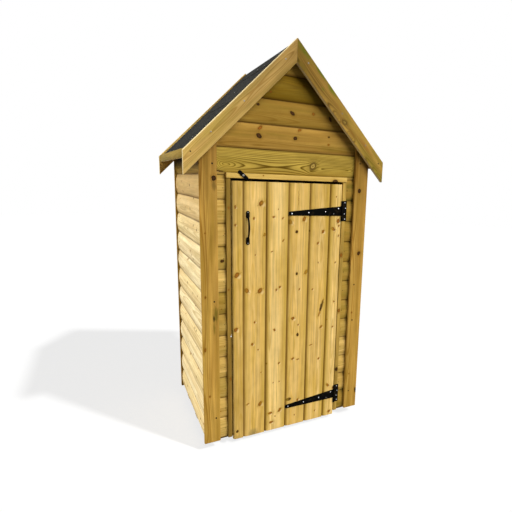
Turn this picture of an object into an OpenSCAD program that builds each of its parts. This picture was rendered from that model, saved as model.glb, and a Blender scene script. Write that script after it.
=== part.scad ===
// Small loglap garden tool shed with a steep felted roof and one ledged and braced door.
// Millimetres, +X to the right of the door side, +Y towards the back, +Z up.
// The origin is on the ground, in the middle of the roof's plan.

/* [Body] */
// Depth over the front and back corner trims
body_d = 690; // [560:1:900]
// Height of the side walls at their outer face, above the cladding's lower edge
wall_h = 1489; // [1450:1:1700]
// Height of the cladding's lower edge above the ground
ground_gap = 42; // [36:1:44]

/* [Cladding] */
// Visible height of one wall course
course_h = 112; // [90:1:130]
// Visible height of one course in the front gable
gable_course_h = 115.5; // [90:0.5:130]
// Thickness of a loglap board at its crown
clad_t = 19; // [16:0.5:24]
// Depth of the hollow where two courses meet
clad_dip = 8; // [3:0.5:11]

/* [Corner trims] */
// Width of a corner trim
trim_w = 80; // [60:1:95]
// Thickness of a corner trim
trim_t = 16; // [12:0.5:22]
// How far a corner trim stands out past the crown of the side cladding
trim_lap = 6; // [2:0.5:12]

/* [Frame] */
// Side of a square corner post
post_w = 38; // [27:1:45]
// Thickness of the wall plates, the head rail and the ridge beam
rail_t = 27; // [20:1:38]
// Height of the wall plates and the head rail
rail_h = 45; // [35:1:60]
// Height of the ridge beam
ridge_h = 70; // [50:1:95]

/* [Floor] */
// Height of a floor bearer
bearer_h = 45; // [45:1:60]
// Width of a floor bearer
bearer_w = 60; // [38:1:75]
// Thickness of the floor boards
floor_t = 15; // [12:1:20]
// How far the outer bearers are set in from the front and back cladding
bearer_inset = 40; // [30:1:80]

/* [Roof] */
// Slope of the roof from level
roof_pitch = 45.4; // [38:0.1:48]
// How far the eaves stand out past the corner trims
eaves_overhang = 72; // [50:1:100]
// How far the front bargeboards stand out past the front corner trims
front_overhang = 33; // [30:1:60]
// How far the back bargeboards stand out past the back corner trims
back_overhang = 75; // [30:1:90]
// Thickness of the roof boards
deck_t = 12; // [9:1:18]
// Thickness of the mineral felt
felt_t = 3; // [2:0.5:4]

/* [Bargeboards and fascias] */
// Width of a bargeboard across its grain
barge_w = 74; // [60:1:95]
// Thickness of a bargeboard
barge_t = 20; // [14:1:26]
// How far the bargeboards stand above the felt
barge_rise = 8; // [4:1:14]
// Height of an eaves fascia
fascia_h = 38; // [35:1:55]
// How far a fascia's upper edge stands above the line through the bargeboards' tails
fascia_rise = 7; // [1:1:8]
// Thickness of an eaves fascia
fascia_t = 16; // [12:1:20]
// How far a fascia's face lies inside the tails of the bargeboards
fascia_inset = 4; // [1:1:8]

/* [Doorway] */
// Width of the door
door_w = 596; // [450:1:800]
// Height of the door
door_h = 1339; // [1250:1:1345]
// Height of the door's lower edge above the ground
door_lift = 22; // [12:1:30]
// Gap between the door and each jamb
door_gap = 5; // [5:0.5:8]
// Gap between the door and the head batten
door_top_gap = 12; // [8:1:14]
// Width of a jamb's face
jamb_w = 22; // [18:1:28]
// Width of cladding that shows between the left corner trim and its jamb
flank_left = 42; // [30:1:90]
// Width of cladding that shows between the right corner trim and its jamb
flank_right = 50; // [36:1:90]
// Height of the head batten's face
batten_h = 24; // [20:1:32]
// How far the door's face lies behind the face of the corner trims
door_set_back = 5; // [5:0.5:9]

/* [Door] */
// Thickness of the door's boards
door_t = 16; // [12:1:18]
// Cover width of a door board
door_board_w = 118; // [90:1:140]
// Width of the door board at the free edge
first_board_w = 53; // [40:1:100]
// Depth of the hollow along a joint between two door boards
joint_depth = 8; // [2:0.5:9]
// Width of the hollow along a joint between two door boards
joint_w = 30; // [10:1:45]
// Width of a ledge or a brace on the door's back
ledge_w = 90; // [60:1:110]
// Thickness of a ledge or a brace
ledge_t = 20; // [14:1:20]
// Distance from a ledge's end to the door's edge
ledge_inset = 30; // [20:1:60]

/* [Hinges] */
// Distance from the door's upper edge to the upper hinge's centre
hinge_drop = 140; // [110:1:180]
// Distance from the door's lower edge to the lower hinge's centre
hinge_rise = 132; // [110:1:180]
// Length of a hinge strap from its pin to its tip
strap_l = 310; // [200:1:340]
// Height of a strap at its pin
strap_root_h = 52; // [40:1:60]
// Height of a strap at its tip
strap_tip_h = 21; // [14:1:28]
// How far a strap's tip lies below the hinge's centre
strap_droop = 12; // [0:1:15]
// Height of a hinge plate on its jamb
plate_h = 108; // [90:1:130]
// Width of a hinge plate past its pin
plate_w = 29.5; // [24:0.5:34]
// Thickness of the hinge plates and straps
hinge_t = 3; // [2:0.5:4]
// Outer radius of a hinge knuckle
knuckle_r = 4.5; // [4:0.1:5]
// Radius of a hinge pin
hinge_pin_r = 2.5; // [2:0.1:3]

/* [Pull handle] */
// Distance from the door's free edge to the handle's centre line
handle_x = 77; // [60:1:110]
// Distance from the door's upper edge to the handle's centre
handle_drop = 221; // [160:1:500]
// Length of the handle over its pads
handle_l = 165; // [140:1:200]
// Length of a pad
pad_l = 37; // [30:1:42]
// Width of a pad
pad_w = 18; // [14:1:22]
// Thickness of a pad
pad_t = 4; // [3:0.5:5]
// How far the middle of the grip's centre line stands out from the door
grip_rise = 22; // [20:1:33]
// Radius of the grip
grip_r = 5; // [4:0.5:6]

/* [Turn button] */
// Distance from the door's free edge to the button's screw
button_x = 53; // [35:1:120]
// How far the screw lies above the head batten's middle
button_rise = 3; // [0:0.5:4]
// Length of the button
button_l = 60; // [58:1:66]
// Width of the button
button_w = 16; // [12:0.5:16]
// Thickness of the button
button_t = 4; // [3:0.5:5]
// Radius of the button's screw
button_screw_r = 2.5; // [2:0.1:3]
// Tilt of the button from upright, in the place where it lets the door go
button_tilt = 50; // [45:1:90]

/* [Fits] */
// Radial clearance of a turning fit
run_gap = 0.05; // [0.02:0.01:0.1]
// Gap between two faces that slide past each other
face_gap = 0.3; // [0.2:0.1:0.5]
// Gap between the roof boards and the pieces whose tops are cut to their slope
roof_gap = 0.1; // [0.05:0.05:0.5]

/* [Hidden] */
$fn = 48;
crown_fn = 180;
joint_steps = 6;
joint_curve = 3;
overshoot = 1;

pine = "#c9a256";
pale_pine = "#d8b565";
golden_pine = "#b8893a";
frame_pine = "#c4a468";
felt_grey = "#3d403b";
black_iron = "#161616";
zinc = "#c8c8c8";

// Plan: half sizes, and the front and back planes of the trims, the cladding and the frame
doorway_w = door_w + 2 * door_gap + 2 * jamb_w;
body_w = 2 * trim_w + flank_left + doorway_w + flank_right;
half_w = body_w / 2;
roof_d = front_overhang + body_d + back_overhang;
y_front = front_overhang - roof_d / 2;
y_back = y_front + body_d;
y_clad_front = y_front + trim_t;
y_clad_back = y_back - trim_t;
y_in_front = y_clad_front + clad_t;
y_in_back = y_clad_back - clad_t;
x_crown = half_w - trim_lap;
x_in = x_crown - clad_t;

// Roof: heights of its planes on the centre line, and its plan
z_soffit = ground_gap + wall_h + x_crown * tan(roof_pitch);
barge_top = (deck_t + felt_t + barge_rise) / cos(roof_pitch);
z_peak = z_soffit + barge_top;
x_tail = half_w + eaves_overhang;
x_fascia = x_tail - fascia_inset;
x_deck = x_fascia - fascia_t;
y_barge_front = -roof_d / 2;
y_barge_back = roof_d / 2;
deck_l = roof_d - 2 * barge_t;
z_fascia = z_peak - x_tail * tan(roof_pitch) + fascia_rise;

// Doorway
x_doorway = trim_w + flank_left - half_w;
x_door = x_doorway + jamb_w + door_gap;
x_door_end = x_door + door_w;
x_jamb_right = x_door_end + door_gap;
y_face = y_front + door_set_back;
z_door_top = door_lift + door_h;
z_batten = z_door_top + door_top_gap;
z_header = z_batten + batten_h;
z_floor = bearer_h + floor_t;

// Hinges
x_pin = x_door_end + door_gap / 2;
y_pin = y_face - knuckle_r;
z_hinge_upper = z_door_top - hinge_drop;
z_hinge_lower = door_lift + hinge_rise;

// Turn button
x_button = x_door + button_x;
z_button = z_batten + batten_h / 2 + button_rise;

// Radius of a board's face that is flush at its middle and clad_dip deep at its edges
function crown_radius(pitch) = (pow(clad_dip, 2) + pow(pitch / 2, 2)) / (2 * clad_dip);

// Height of the roof boards' underside at a distance from the centre line
function soffit(x) = z_soffit - x * tan(roof_pitch);

// Upright plate with its outline in the XZ plane and its thickness towards +Y
module upright(y, thickness) {
    translate([0, y + thickness, 0])
        rotate([90, 0, 0])
            linear_extrude(thickness) children();
}

// Everything below the roof boards, as one prism as deep as the roof
module under_roof() {
    translate([0, 0, -roof_gap]) upright(y_barge_front, roof_d)
        polygon([
            [-x_tail, -overshoot], [-x_tail, soffit(x_tail)], [0, z_soffit],
            [x_tail, soffit(x_tail)], [x_tail, -overshoot]
        ]);
}

// Stack of loglap courses: crowns on x = 0, flat back on x = clad_t, length along -Y
module cladding(length, height, pitch) {
    radius = crown_radius(pitch);
    rotate([90, 0, 0])
        linear_extrude(length)
            intersection() {
                square([clad_t, height]);
                union() {
                    for (k = [0 : ceil(height / pitch) - 1]) {
                        intersection() {
                            translate([radius, (k + 0.5) * pitch]) circle(radius, $fn = crown_fn);
                            translate([0, k * pitch]) square([clad_t, pitch]);
                        }
                    }
                }
            }
}

// ---- Floor ----

module bearer(y) {
    color(frame_pine)
        translate([-x_in, y, 0]) cube([2 * x_in, bearer_w, bearer_h]);
}

module bearer_front() { bearer(y_in_front + bearer_inset); }
module bearer_middle() { bearer((y_in_front + y_in_back - bearer_w) / 2); }
module bearer_back() { bearer(y_in_back - bearer_inset - bearer_w); }

// The floor is notched round the feet of the jambs
module floor_deck() {
    color(frame_pine)
        difference() {
            translate([-x_in, y_in_front, bearer_h])
                cube([2 * x_in, y_in_back - y_in_front, floor_t]);
            for (x = [x_doorway, x_jamb_right])
                translate([x - face_gap, y_in_front - overshoot, 0])
                    cube([jamb_w + 2 * face_gap, rail_t + face_gap + overshoot, z_floor + overshoot]);
        }
}

// ---- Walls ----

// The side walls run past the front and back cladding to the corner trims
module side_wall() {
    intersection() {
        translate([-x_crown, y_clad_back, ground_gap])
            cladding(y_clad_back - y_clad_front, soffit(x_in) - ground_gap, course_h);
        under_roof();
    }
}

module wall_left() { color(pale_pine) side_wall(); }
module wall_right() { color(pale_pine) mirror([1, 0, 0]) side_wall(); }

module wall_back() {
    color(pale_pine)
        intersection() {
            translate([x_in, y_clad_back, ground_gap])
                rotate([0, 0, -90]) cladding(2 * x_in, z_soffit - ground_gap, course_h);
            under_roof();
        }
}

module front_cladding(x0, x1, z0, z1, pitch) {
    color(pine)
        translate([x0, y_clad_front, z0])
            rotate([0, 0, 90]) cladding(x1 - x0, z1 - z0, pitch);
}

module wall_front_left() { front_cladding(-x_in, x_doorway, ground_gap, z_header, course_h); }
module wall_front_right() { front_cladding(x_doorway + doorway_w, x_in, ground_gap, z_header, course_h); }

module gable_front() {
    color(pine)
        intersection() {
            front_cladding(-x_in, x_in, z_header, z_soffit, gable_course_h);
            under_roof();
        }
}

// ---- Corner trims ----

module corner_trim(x, y) {
    color(golden_pine)
        intersection() {
            translate([x, y, ground_gap]) cube([trim_w, trim_t, z_soffit]);
            under_roof();
        }
}

module corner_trim_front_left() { corner_trim(-half_w, y_front); }
module corner_trim_front_right() { corner_trim(half_w - trim_w, y_front); }
module corner_trim_back_left() { corner_trim(-half_w, y_clad_back); }
module corner_trim_back_right() { corner_trim(half_w - trim_w, y_clad_back); }

// ---- Frame ----

z_plate = soffit(x_in) - rail_h;

// Corner posts stand on the floor and carry the wall plates
module post(x, y) {
    color(frame_pine)
        translate([x, y, z_floor]) cube([post_w, post_w, z_plate - z_floor]);
}

module post_front_left() { post(-x_in, y_in_front); }
module post_front_right() { post(x_in - post_w, y_in_front); }
module post_back_left() { post(-x_in, y_in_back - post_w); }
module post_back_right() { post(x_in - post_w, y_in_back - post_w); }

module wall_plate(x) {
    color(frame_pine)
        translate([x, y_in_front, z_plate]) cube([rail_t, y_in_back - y_in_front, rail_h]);
}

module wall_plate_left() { wall_plate(-x_in); }
module wall_plate_right() { wall_plate(x_in - rail_t); }

// The head rail carries the gable over the doorway
module head_rail() {
    color(frame_pine)
        translate([post_w - x_in, y_in_front, z_batten])
            cube([2 * (x_in - post_w), rail_t, rail_h]);
}

module ridge_beam() {
    color(frame_pine)
        intersection() {
            translate([-rail_t / 2, y_in_front, soffit(rail_t / 2) - ridge_h])
                cube([rail_t, y_in_back - y_in_front, 2 * ridge_h]);
            under_roof();
        }
}

// ---- Doorway ----

module jamb(x) {
    color(pine)
        translate([x, y_face, ground_gap])
            cube([jamb_w, y_in_front + rail_t - y_face, z_batten - ground_gap]);
}

module jamb_left() { jamb(x_doorway); }
module jamb_right() { jamb(x_jamb_right); }

module head_batten() {
    color(pale_pine)
        difference() {
            translate([x_doorway, y_front, z_batten])
                cube([doorway_w, y_in_front - y_front, batten_h]);
            button_screw_shank();
        }
}

// ---- Roof ----

// One slope of a roof layer between two depths, measured square to the boards
module roof_layer(low, high) {
    drop = x_deck * tan(roof_pitch);
    upright(-deck_l / 2, deck_l)
        polygon([
            [0, z_soffit + low / cos(roof_pitch)],
            [-x_deck, z_soffit + low / cos(roof_pitch) - drop],
            [-x_deck, z_soffit + high / cos(roof_pitch) - drop],
            [0, z_soffit + high / cos(roof_pitch)]
        ]);
}

module roof_deck() { color(frame_pine) roof_layer(0, deck_t); }
module roof_felt() { color(felt_grey) roof_layer(deck_t, deck_t + felt_t); }
module roof_deck_left() { roof_deck(); }
module roof_deck_right() { mirror([1, 0, 0]) roof_deck(); }
module roof_felt_left() { roof_felt(); }
module roof_felt_right() { mirror([1, 0, 0]) roof_felt(); }

// The bargeboards are mitred at the peak and cut upright at their tails
module bargeboard(y) {
    tail_cut = barge_w / cos(roof_pitch);
    drop = x_tail * tan(roof_pitch);
    color(golden_pine)
        upright(y, barge_t)
            polygon([
                [0, z_peak], [-x_tail, z_peak - drop],
                [-x_tail, z_peak - drop - tail_cut], [0, z_peak - tail_cut]
            ]);
}

module bargeboard_front_left() { bargeboard(y_barge_front); }
module bargeboard_front_right() { mirror([1, 0, 0]) bargeboard(y_barge_front); }
module bargeboard_back_left() { bargeboard(y_barge_back - barge_t); }
module bargeboard_back_right() { mirror([1, 0, 0]) bargeboard(y_barge_back - barge_t); }

module eaves_fascia() {
    color(pine)
        translate([-x_fascia, -deck_l / 2, z_fascia - fascia_h])
            cube([fascia_t, deck_l, fascia_h]);
}

module eaves_fascia_left() { eaves_fascia(); }
module eaves_fascia_right() { mirror([1, 0, 0]) eaves_fascia(); }

// ---- Hinges ----

// Jamb side: plate, the upper and lower knuckles, and the pin through all three
module hinge_plate(z) {
    knuckle_l = (plate_h - strap_root_h) / 2;
    color(black_iron)
        union() {
            difference() {
                translate([x_pin, y_face - hinge_t, z - plate_h / 2]) cube([plate_w, hinge_t, plate_h]);
                translate([x_pin - knuckle_r, y_face - 2 * knuckle_r, z - strap_root_h / 2])
                    cube([2 * knuckle_r + face_gap, 2 * knuckle_r + overshoot, strap_root_h]);
            }
            for (z0 = [z - plate_h / 2, z + strap_root_h / 2])
                translate([x_pin, y_pin, z0]) cylinder(r = knuckle_r, h = knuckle_l);
            translate([x_pin, y_pin, z - plate_h / 2]) cylinder(r = hinge_pin_r, h = plate_h);
        }
}

module hinge_plate_upper() { hinge_plate(z_hinge_upper); }
module hinge_plate_lower() { hinge_plate(z_hinge_lower); }

// Door side: tapering strap with a round tip, and the middle knuckle
module hinge_strap(z) {
    root = strap_root_h / 2 - face_gap;
    tip = strap_tip_h / 2;
    x_tip = x_pin - strap_l + tip;
    color(black_iron)
        difference() {
            union() {
                upright(y_face - hinge_t, hinge_t)
                    union() {
                        polygon([
                            [x_pin, z - root], [x_pin, z + root],
                            [x_tip, z - strap_droop + tip], [x_tip, z - strap_droop - tip]
                        ]);
                        translate([x_tip, z - strap_droop]) circle(tip);
                    }
                translate([x_pin, y_pin, z - root]) cylinder(r = knuckle_r, h = 2 * root);
            }
            translate([x_pin, y_pin, z - plate_h]) cylinder(r = hinge_pin_r + run_gap, h = 2 * plate_h);
        }
}

module hinge_strap_upper() { hinge_strap(z_hinge_upper); }
module hinge_strap_lower() { hinge_strap(z_hinge_lower); }

// ---- Door ----

// Hollow along a joint: square against the board on its left, curving out over the board on its right
module joint_hollow() {
    polygon([
        [0, -overshoot],
        for (k = [0 : joint_steps]) [joint_w * k / joint_steps, joint_depth * pow(1 - k / joint_steps, joint_curve)],
        [joint_w, -overshoot]
    ]);
}

// One sheet of tongued and grooved boards with a hollow along each joint
module door_boards() {
    last_joint = floor((door_w - first_board_w) / door_board_w);
    color(pale_pine)
        difference() {
            translate([x_door, y_face, door_lift]) cube([door_w, door_t, door_h]);
            for (k = [0 : last_joint])
                translate([x_door + first_board_w + k * door_board_w, y_face, door_lift - overshoot])
                    linear_extrude(door_h + 2 * overshoot) joint_hollow();
        }
}

y_ledge = y_face + door_t;
z_ledge_top = z_hinge_upper - ledge_w / 2;
z_ledge_bottom = z_hinge_lower - ledge_w / 2;
z_ledge_middle = (z_ledge_top + z_ledge_bottom) / 2;

module door_ledge(z) {
    color(frame_pine)
        translate([x_door + ledge_inset, y_ledge, z])
            cube([door_w - 2 * ledge_inset, ledge_t, ledge_w]);
}

module door_ledge_top() { door_ledge(z_ledge_top); }
module door_ledge_middle() { door_ledge(z_ledge_middle); }
module door_ledge_bottom() { door_ledge(z_ledge_bottom); }

// The braces rise from the hinge side to the free side, each between two ledges
module door_braces() {
    x_low = x_door_end - ledge_inset;
    x_high = x_door + ledge_inset;
    foot = ledge_w / 2;
    color(frame_pine)
        for (z = [[z_ledge_bottom, z_ledge_middle], [z_ledge_middle, z_ledge_top]])
            upright(y_ledge, ledge_t)
                polygon([
                    [x_low, z[0] + ledge_w], [x_low, z[0] + ledge_w + foot],
                    [x_high + 2 * foot, z[1]], [x_high, z[1]], [x_high, z[1] - foot],
                    [x_low - 2 * foot, z[0] + ledge_w]
                ]);
}

// Bowed pull handle: two round-ended pads and an arched grip between them
module door_handle() {
    x = x_door + handle_x;
    z = z_door_top - handle_drop;
    seat = (handle_l - pad_l) / 2;
    rise = grip_rise - pad_t;
    bow_r = (pow(seat, 2) + pow(rise, 2)) / (2 * rise);
    bow_angle = asin(seat / bow_r);
    color(black_iron)
        union() {
            for (side = [-1, 1])
                upright(y_face - pad_t, pad_t)
                    union() {
                        translate([x - pad_w / 2, z + side * seat - (pad_l - pad_w) / 2])
                            square([pad_w, pad_l - pad_w]);
                        for (end = [-1, 1])
                            translate([x, z + side * seat + end * (pad_l - pad_w) / 2]) circle(pad_w / 2);
                    }
            intersection() {
                translate([x, y_face - grip_rise + bow_r, z])
                    rotate([0, 90, 0])
                        rotate([0, 0, 270 - bow_angle])
                            rotate_extrude(angle = 2 * bow_angle) translate([bow_r, 0]) circle(grip_r);
                translate([x - pad_w, y_face - 2 * grip_rise, z - handle_l])
                    cube([2 * pad_w, 2 * grip_rise - pad_t / 2, 2 * handle_l]);
            }
        }
}

// ---- Turn button ----

module button_screw_shank() {
    translate([x_button, y_in_front, z_button])
        rotate([90, 0, 0]) cylinder(r = button_screw_r, h = y_in_front - y_front + face_gap + button_t + face_gap);
}

module button_screw() {
    color(zinc)
        union() {
            button_screw_shank();
            translate([x_button, y_front - 2 * face_gap - button_t, z_button])
                rotate([90, 0, 0]) cylinder(r = 2 * button_screw_r, h = button_screw_r);
        }
}

// Flat bar with round ends, turning on its screw in front of the head batten
module turn_button() {
    color(black_iron)
        translate([x_button, y_front - face_gap, z_button])
            rotate([0, -button_tilt, 0])
                rotate([90, 0, 0])
                    difference() {
                        linear_extrude(button_t)
                            union() {
                                square([button_w, button_l - button_w], center = true);
                                for (end = [-1, 1])
                                    translate([0, end * (button_l - button_w) / 2]) circle(button_w / 2);
                            }
                        translate([0, 0, -overshoot])
                            cylinder(r = button_screw_r + run_gap, h = button_t + 2 * overshoot);
                    }
}

bearer_front();
bearer_middle();
bearer_back();
floor_deck();
wall_left();
wall_right();
wall_back();
wall_front_left();
wall_front_right();
gable_front();
corner_trim_front_left();
corner_trim_front_right();
corner_trim_back_left();
corner_trim_back_right();
post_front_left();
post_front_right();
post_back_left();
post_back_right();
wall_plate_left();
wall_plate_right();
head_rail();
ridge_beam();
jamb_left();
jamb_right();
head_batten();
roof_deck_left();
roof_deck_right();
roof_felt_left();
roof_felt_right();
bargeboard_front_left();
bargeboard_front_right();
bargeboard_back_left();
bargeboard_back_right();
eaves_fascia_left();
eaves_fascia_right();
hinge_plate_upper();
hinge_plate_lower();
button_screw();
door_boards();
door_ledge_top();
door_ledge_middle();
door_ledge_bottom();
door_braces();
hinge_strap_upper();
hinge_strap_lower();
door_handle();
turn_button();
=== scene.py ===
"""Garden tool shed in loglap pine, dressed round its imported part.

Timber pieces are boards with their own grain, hardware is pressed black iron, and the roof is
mineral felt. Everything is in metres, +X to the right of the door side, +Y towards the back, +Z up.
"""

import logging
import math
import random
from dataclasses import dataclass, field, replace
from enum import Enum
from typing import Callable, Sequence

import bmesh
import bpy
from bmesh.types import BMesh
from mathutils import Matrix, Vector, noise


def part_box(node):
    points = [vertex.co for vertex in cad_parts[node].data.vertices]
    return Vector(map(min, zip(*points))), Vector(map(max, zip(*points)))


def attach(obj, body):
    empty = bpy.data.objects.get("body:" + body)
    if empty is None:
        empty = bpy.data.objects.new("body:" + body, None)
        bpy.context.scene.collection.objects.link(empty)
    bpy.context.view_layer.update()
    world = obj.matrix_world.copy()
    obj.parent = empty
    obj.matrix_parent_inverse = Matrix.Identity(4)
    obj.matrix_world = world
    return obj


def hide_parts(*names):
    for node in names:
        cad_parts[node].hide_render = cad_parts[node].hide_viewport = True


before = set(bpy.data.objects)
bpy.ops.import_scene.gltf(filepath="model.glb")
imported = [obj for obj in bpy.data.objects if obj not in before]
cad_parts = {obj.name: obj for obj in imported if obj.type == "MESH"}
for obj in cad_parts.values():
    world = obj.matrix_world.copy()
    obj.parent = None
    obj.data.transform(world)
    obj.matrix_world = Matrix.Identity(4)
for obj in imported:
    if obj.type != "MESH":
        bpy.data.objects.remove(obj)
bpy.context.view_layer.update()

Colour = tuple[float, float, float]
Socket = bpy.types.NodeSocket
Point = tuple[float, float]

MM = 0.001
X_AXIS = Vector((1, 0, 0))
Y_AXIS = Vector((0, 1, 0))
Z_AXIS = Vector((0, 0, 1))
ORIGIN = Vector((0, 0, 0))
WHITE = (1.0, 1.0, 1.0)
SHARP = math.radians(32)
CUT_REACH = 1e-6
SHORTEST_ARRIS = 5 * MM
SEED_STEP = 0.713
SEEDS_A_WALL = 50
LAMP_REACH = 4

log = logging.getLogger("shed")


# ---------------------------------------------------------------- colours and nodes


def paint(red: float, green: float, blue: float) -> Colour:
    """Turns an 8-bit sRGB colour into linear light.

    Args:
        red: Red, 0 to 255.
        green: Green, 0 to 255.
        blue: Blue, 0 to 255.

    Returns:
        The colour in linear light.
    """

    def lin(level: float) -> float:
        """Linear light of one 8-bit level."""
        share = level / 255
        return share / 12.92 if share <= 0.04045 else ((share + 0.055) / 1.055) ** 2.4

    return lin(red), lin(green), lin(blue)


class Graph:
    """Shader nodes of one material or world, with short calls for those that timber and iron need."""

    def __init__(self, owner: bpy.types.Material | bpy.types.World) -> None:
        """Empties the nodes of a material or a world.

        Args:
            owner: The material or world.
        """
        self.owner = owner
        owner.use_nodes = True
        self.tree = owner.node_tree
        self.tree.nodes.clear()

    def feed(self, socket: Socket, value: object) -> None:
        """Links a socket, or sets its own value where none is given as a socket.

        Args:
            socket: The input.
            value: A socket, a number or a colour.
        """
        if isinstance(value, bpy.types.NodeSocket):
            self.tree.links.new(value, socket)
        elif socket.type == "RGBA":
            socket.default_value = (*value[:3], 1.0)
        else:
            socket.default_value = value

    def add(self, kind: str, inputs: dict | None = None, **settings: object) -> bpy.types.Node:
        """Adds one node.

        Args:
            kind: The node's type without its ShaderNode prefix.
            inputs: Values or sockets by the input's name or number.
            **settings: The node's own settings.

        Returns:
            The new node.
        """
        node = self.tree.nodes.new("ShaderNode" + kind)
        for key, value in settings.items():
            setattr(node, key, value)
        for key, value in (inputs or {}).items():
            self.feed(node.inputs[key], value)
        return node

    def math(self, operation: str, first: object, second: object = 0.0) -> Socket:
        """One Math node."""
        return self.add("Math", {0: first, 1: second}, operation=operation).outputs[0]

    def fused(self, value: object, factor: object, addend: object) -> Socket:
        """A value times a factor, and an addend."""
        return self.add("Math", {0: value, 1: factor, 2: addend}, operation="MULTIPLY_ADD").outputs[0]

    def share(self, value: Socket, start: float, end: float) -> Socket:
        """How far a value has come from start to end, from 0 to 1."""
        return self.add("MapRange", {"Value": value, "From Min": start, "From Max": end}).outputs[0]

    def vector(self, operation: str, first: object, second: object = (0, 0, 0)) -> bpy.types.Node:
        """One Vector Math node, given whole because it has two outputs."""
        return self.add("VectorMath", {0: first, 1: second}, operation=operation)

    def split(self, vector: Socket) -> tuple[Socket, Socket, Socket]:
        """The three parts of a vector."""
        return tuple(self.add("SeparateXYZ", {0: vector}).outputs)

    def join(self, x: object, y: object, z: object = 0.0) -> Socket:
        """A vector from three parts."""
        return self.add("CombineXYZ", {0: x, 1: y, 2: z}).outputs[0]

    def fade(self, value: Socket, start: float, end: float, low: float = 0.0, high: float = 1.0) -> Socket:
        """A smooth step of a value.

        Args:
            value: What the step follows.
            start: Where the step starts.
            end: Where it ends.
            low: The result at start.
            high: The result at end.

        Returns:
            The stepped value.
        """
        ranges = {"Value": value, "From Min": start, "From Max": end, "To Min": low, "To Max": high}
        return self.add("MapRange", ranges, interpolation_type="SMOOTHSTEP").outputs[0]

    def mix(self, share: object, first: object, second: object, blend: str = "MIX") -> Socket:
        """One Mix node for colours."""
        inputs = {0: share, 6: first, 7: second}
        return self.add("Mix", inputs, data_type="RGBA", blend_type=blend, clamp_factor=True).outputs[2]

    def ramp(self, value: Socket, stops: Sequence[tuple[float, Colour]], ease: str = "LINEAR") -> Socket:
        """A colour ramp.

        Args:
            value: What the ramp follows.
            stops: Places from 0 to 1, each with its colour.
            ease: How the ramp runs between its stops.

        Returns:
            The ramp's colour.
        """
        node = self.add("ValToRGB", {0: value})
        node.color_ramp.interpolation = ease
        elements = node.color_ramp.elements
        for _ in stops[2:]:
            elements.new(0.5)
        for element, (place, colour) in zip(elements, stops):
            element.position = place
        for element, (place, colour) in zip(elements, stops):
            element.color = (*colour, 1.0)
        return node.outputs[0]

    def noise(self, vector: Socket, scale: float, detail: float = 2.0, seed: object = 0.0) -> Socket:
        """Four-dimensional noise round 0.5.

        Args:
            vector: Where it is read.
            scale: Its scale in that vector's own units.
            detail: Its octaves.
            seed: The fourth dimension, which keeps boards apart.

        Returns:
            The noise's value.
        """
        inputs = {"Vector": vector, "W": seed, "Scale": scale, "Detail": detail}
        return self.add("TexNoise", inputs, noise_dimensions="4D").outputs[0]

    def attribute(self, name: str) -> Socket:
        """A vector that a piece's own mesh carries."""
        return self.add("Attribute", attribute_name=name, attribute_type="GEOMETRY").outputs["Vector"]

    def seen(self) -> Socket:
        """Tells what looks at a surface.

        Returns:
            1 where the camera, metal or glass looks, and 0 for the light that falls on other pieces.
        """
        path = self.add("LightPath").outputs
        mirrored = self.math("MAXIMUM", path["Is Glossy Ray"], path["Is Transmission Ray"])
        return self.math("MAXIMUM", path["Is Camera Ray"], mirrored)

    def finish(self, colour: object, roughness: object, height: Socket | None = None, depth: float = 0.0,
               metallic: float = 0.0, specular: float = 0.5) -> bpy.types.Material:
        """Closes the graph with one surface shader.

        Args:
            colour: Base colour.
            roughness: Roughness.
            height: The bump's height, if there is one.
            depth: How deep that bump is.
            metallic: 1 for bare metal.
            specular: Strength of the plain gloss.

        Returns:
            The finished material.
        """
        shader = self.add("BsdfPrincipled", {"Base Color": colour, "Roughness": roughness})
        shader.inputs["Metallic"].default_value = metallic
        shader.inputs["Specular IOR Level"].default_value = specular
        if height is not None:
            bump = self.add("Bump", {"Height": height, "Strength": 1.0, "Distance": depth})
            self.feed(shader.inputs["Normal"], bump.outputs[0])
        self.add("OutputMaterial", {"Surface": shader.outputs[0]})
        return self.owner


# ---------------------------------------------------------------- finishes


class KnotKind(Enum):
    """What a knot is: grown in, loose, a pocket of pitch, a spike, a ringed eye or the pale wood by one."""

    LIVE = "live"
    DEAD = "dead"
    PITCH = "pitch"
    SPIKE = "spike"
    EYE = "eye"
    FLARE = "flare"


KNOT_HEART = {
    KnotKind.LIVE: paint(166, 98, 20),
    KnotKind.DEAD: paint(74, 42, 12),
    KnotKind.PITCH: paint(24, 16, 9),
    KnotKind.SPIKE: paint(104, 66, 18),
    KnotKind.EYE: paint(178, 148, 70),
}
KNOT_RIM = {
    KnotKind.LIVE: paint(82, 44, 6),
    KnotKind.DEAD: paint(34, 19, 5),
    KnotKind.PITCH: paint(166, 92, 44),
    KnotKind.SPIKE: paint(150, 104, 44),
    KnotKind.EYE: paint(78, 56, 18),
}


@dataclass(frozen=True)
class Knot:
    """One knot, in millimetres and degrees, on a board's own grain."""

    along: float
    across: float
    radius: float
    lean: float = 0.0
    stretch: float = 1.25
    kind: KnotKind = KnotKind.LIVE


@dataclass(frozen=True)
class Smear:
    """A soft patch of colour, in millimetres on a board's own grain: its place, its reach and its colour.
    Patches serve as stains, as painted shade and as painted highlights.
    """

    along: float
    across: float
    reach: Point
    colour: Colour
    strength: float = 0.6


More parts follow.
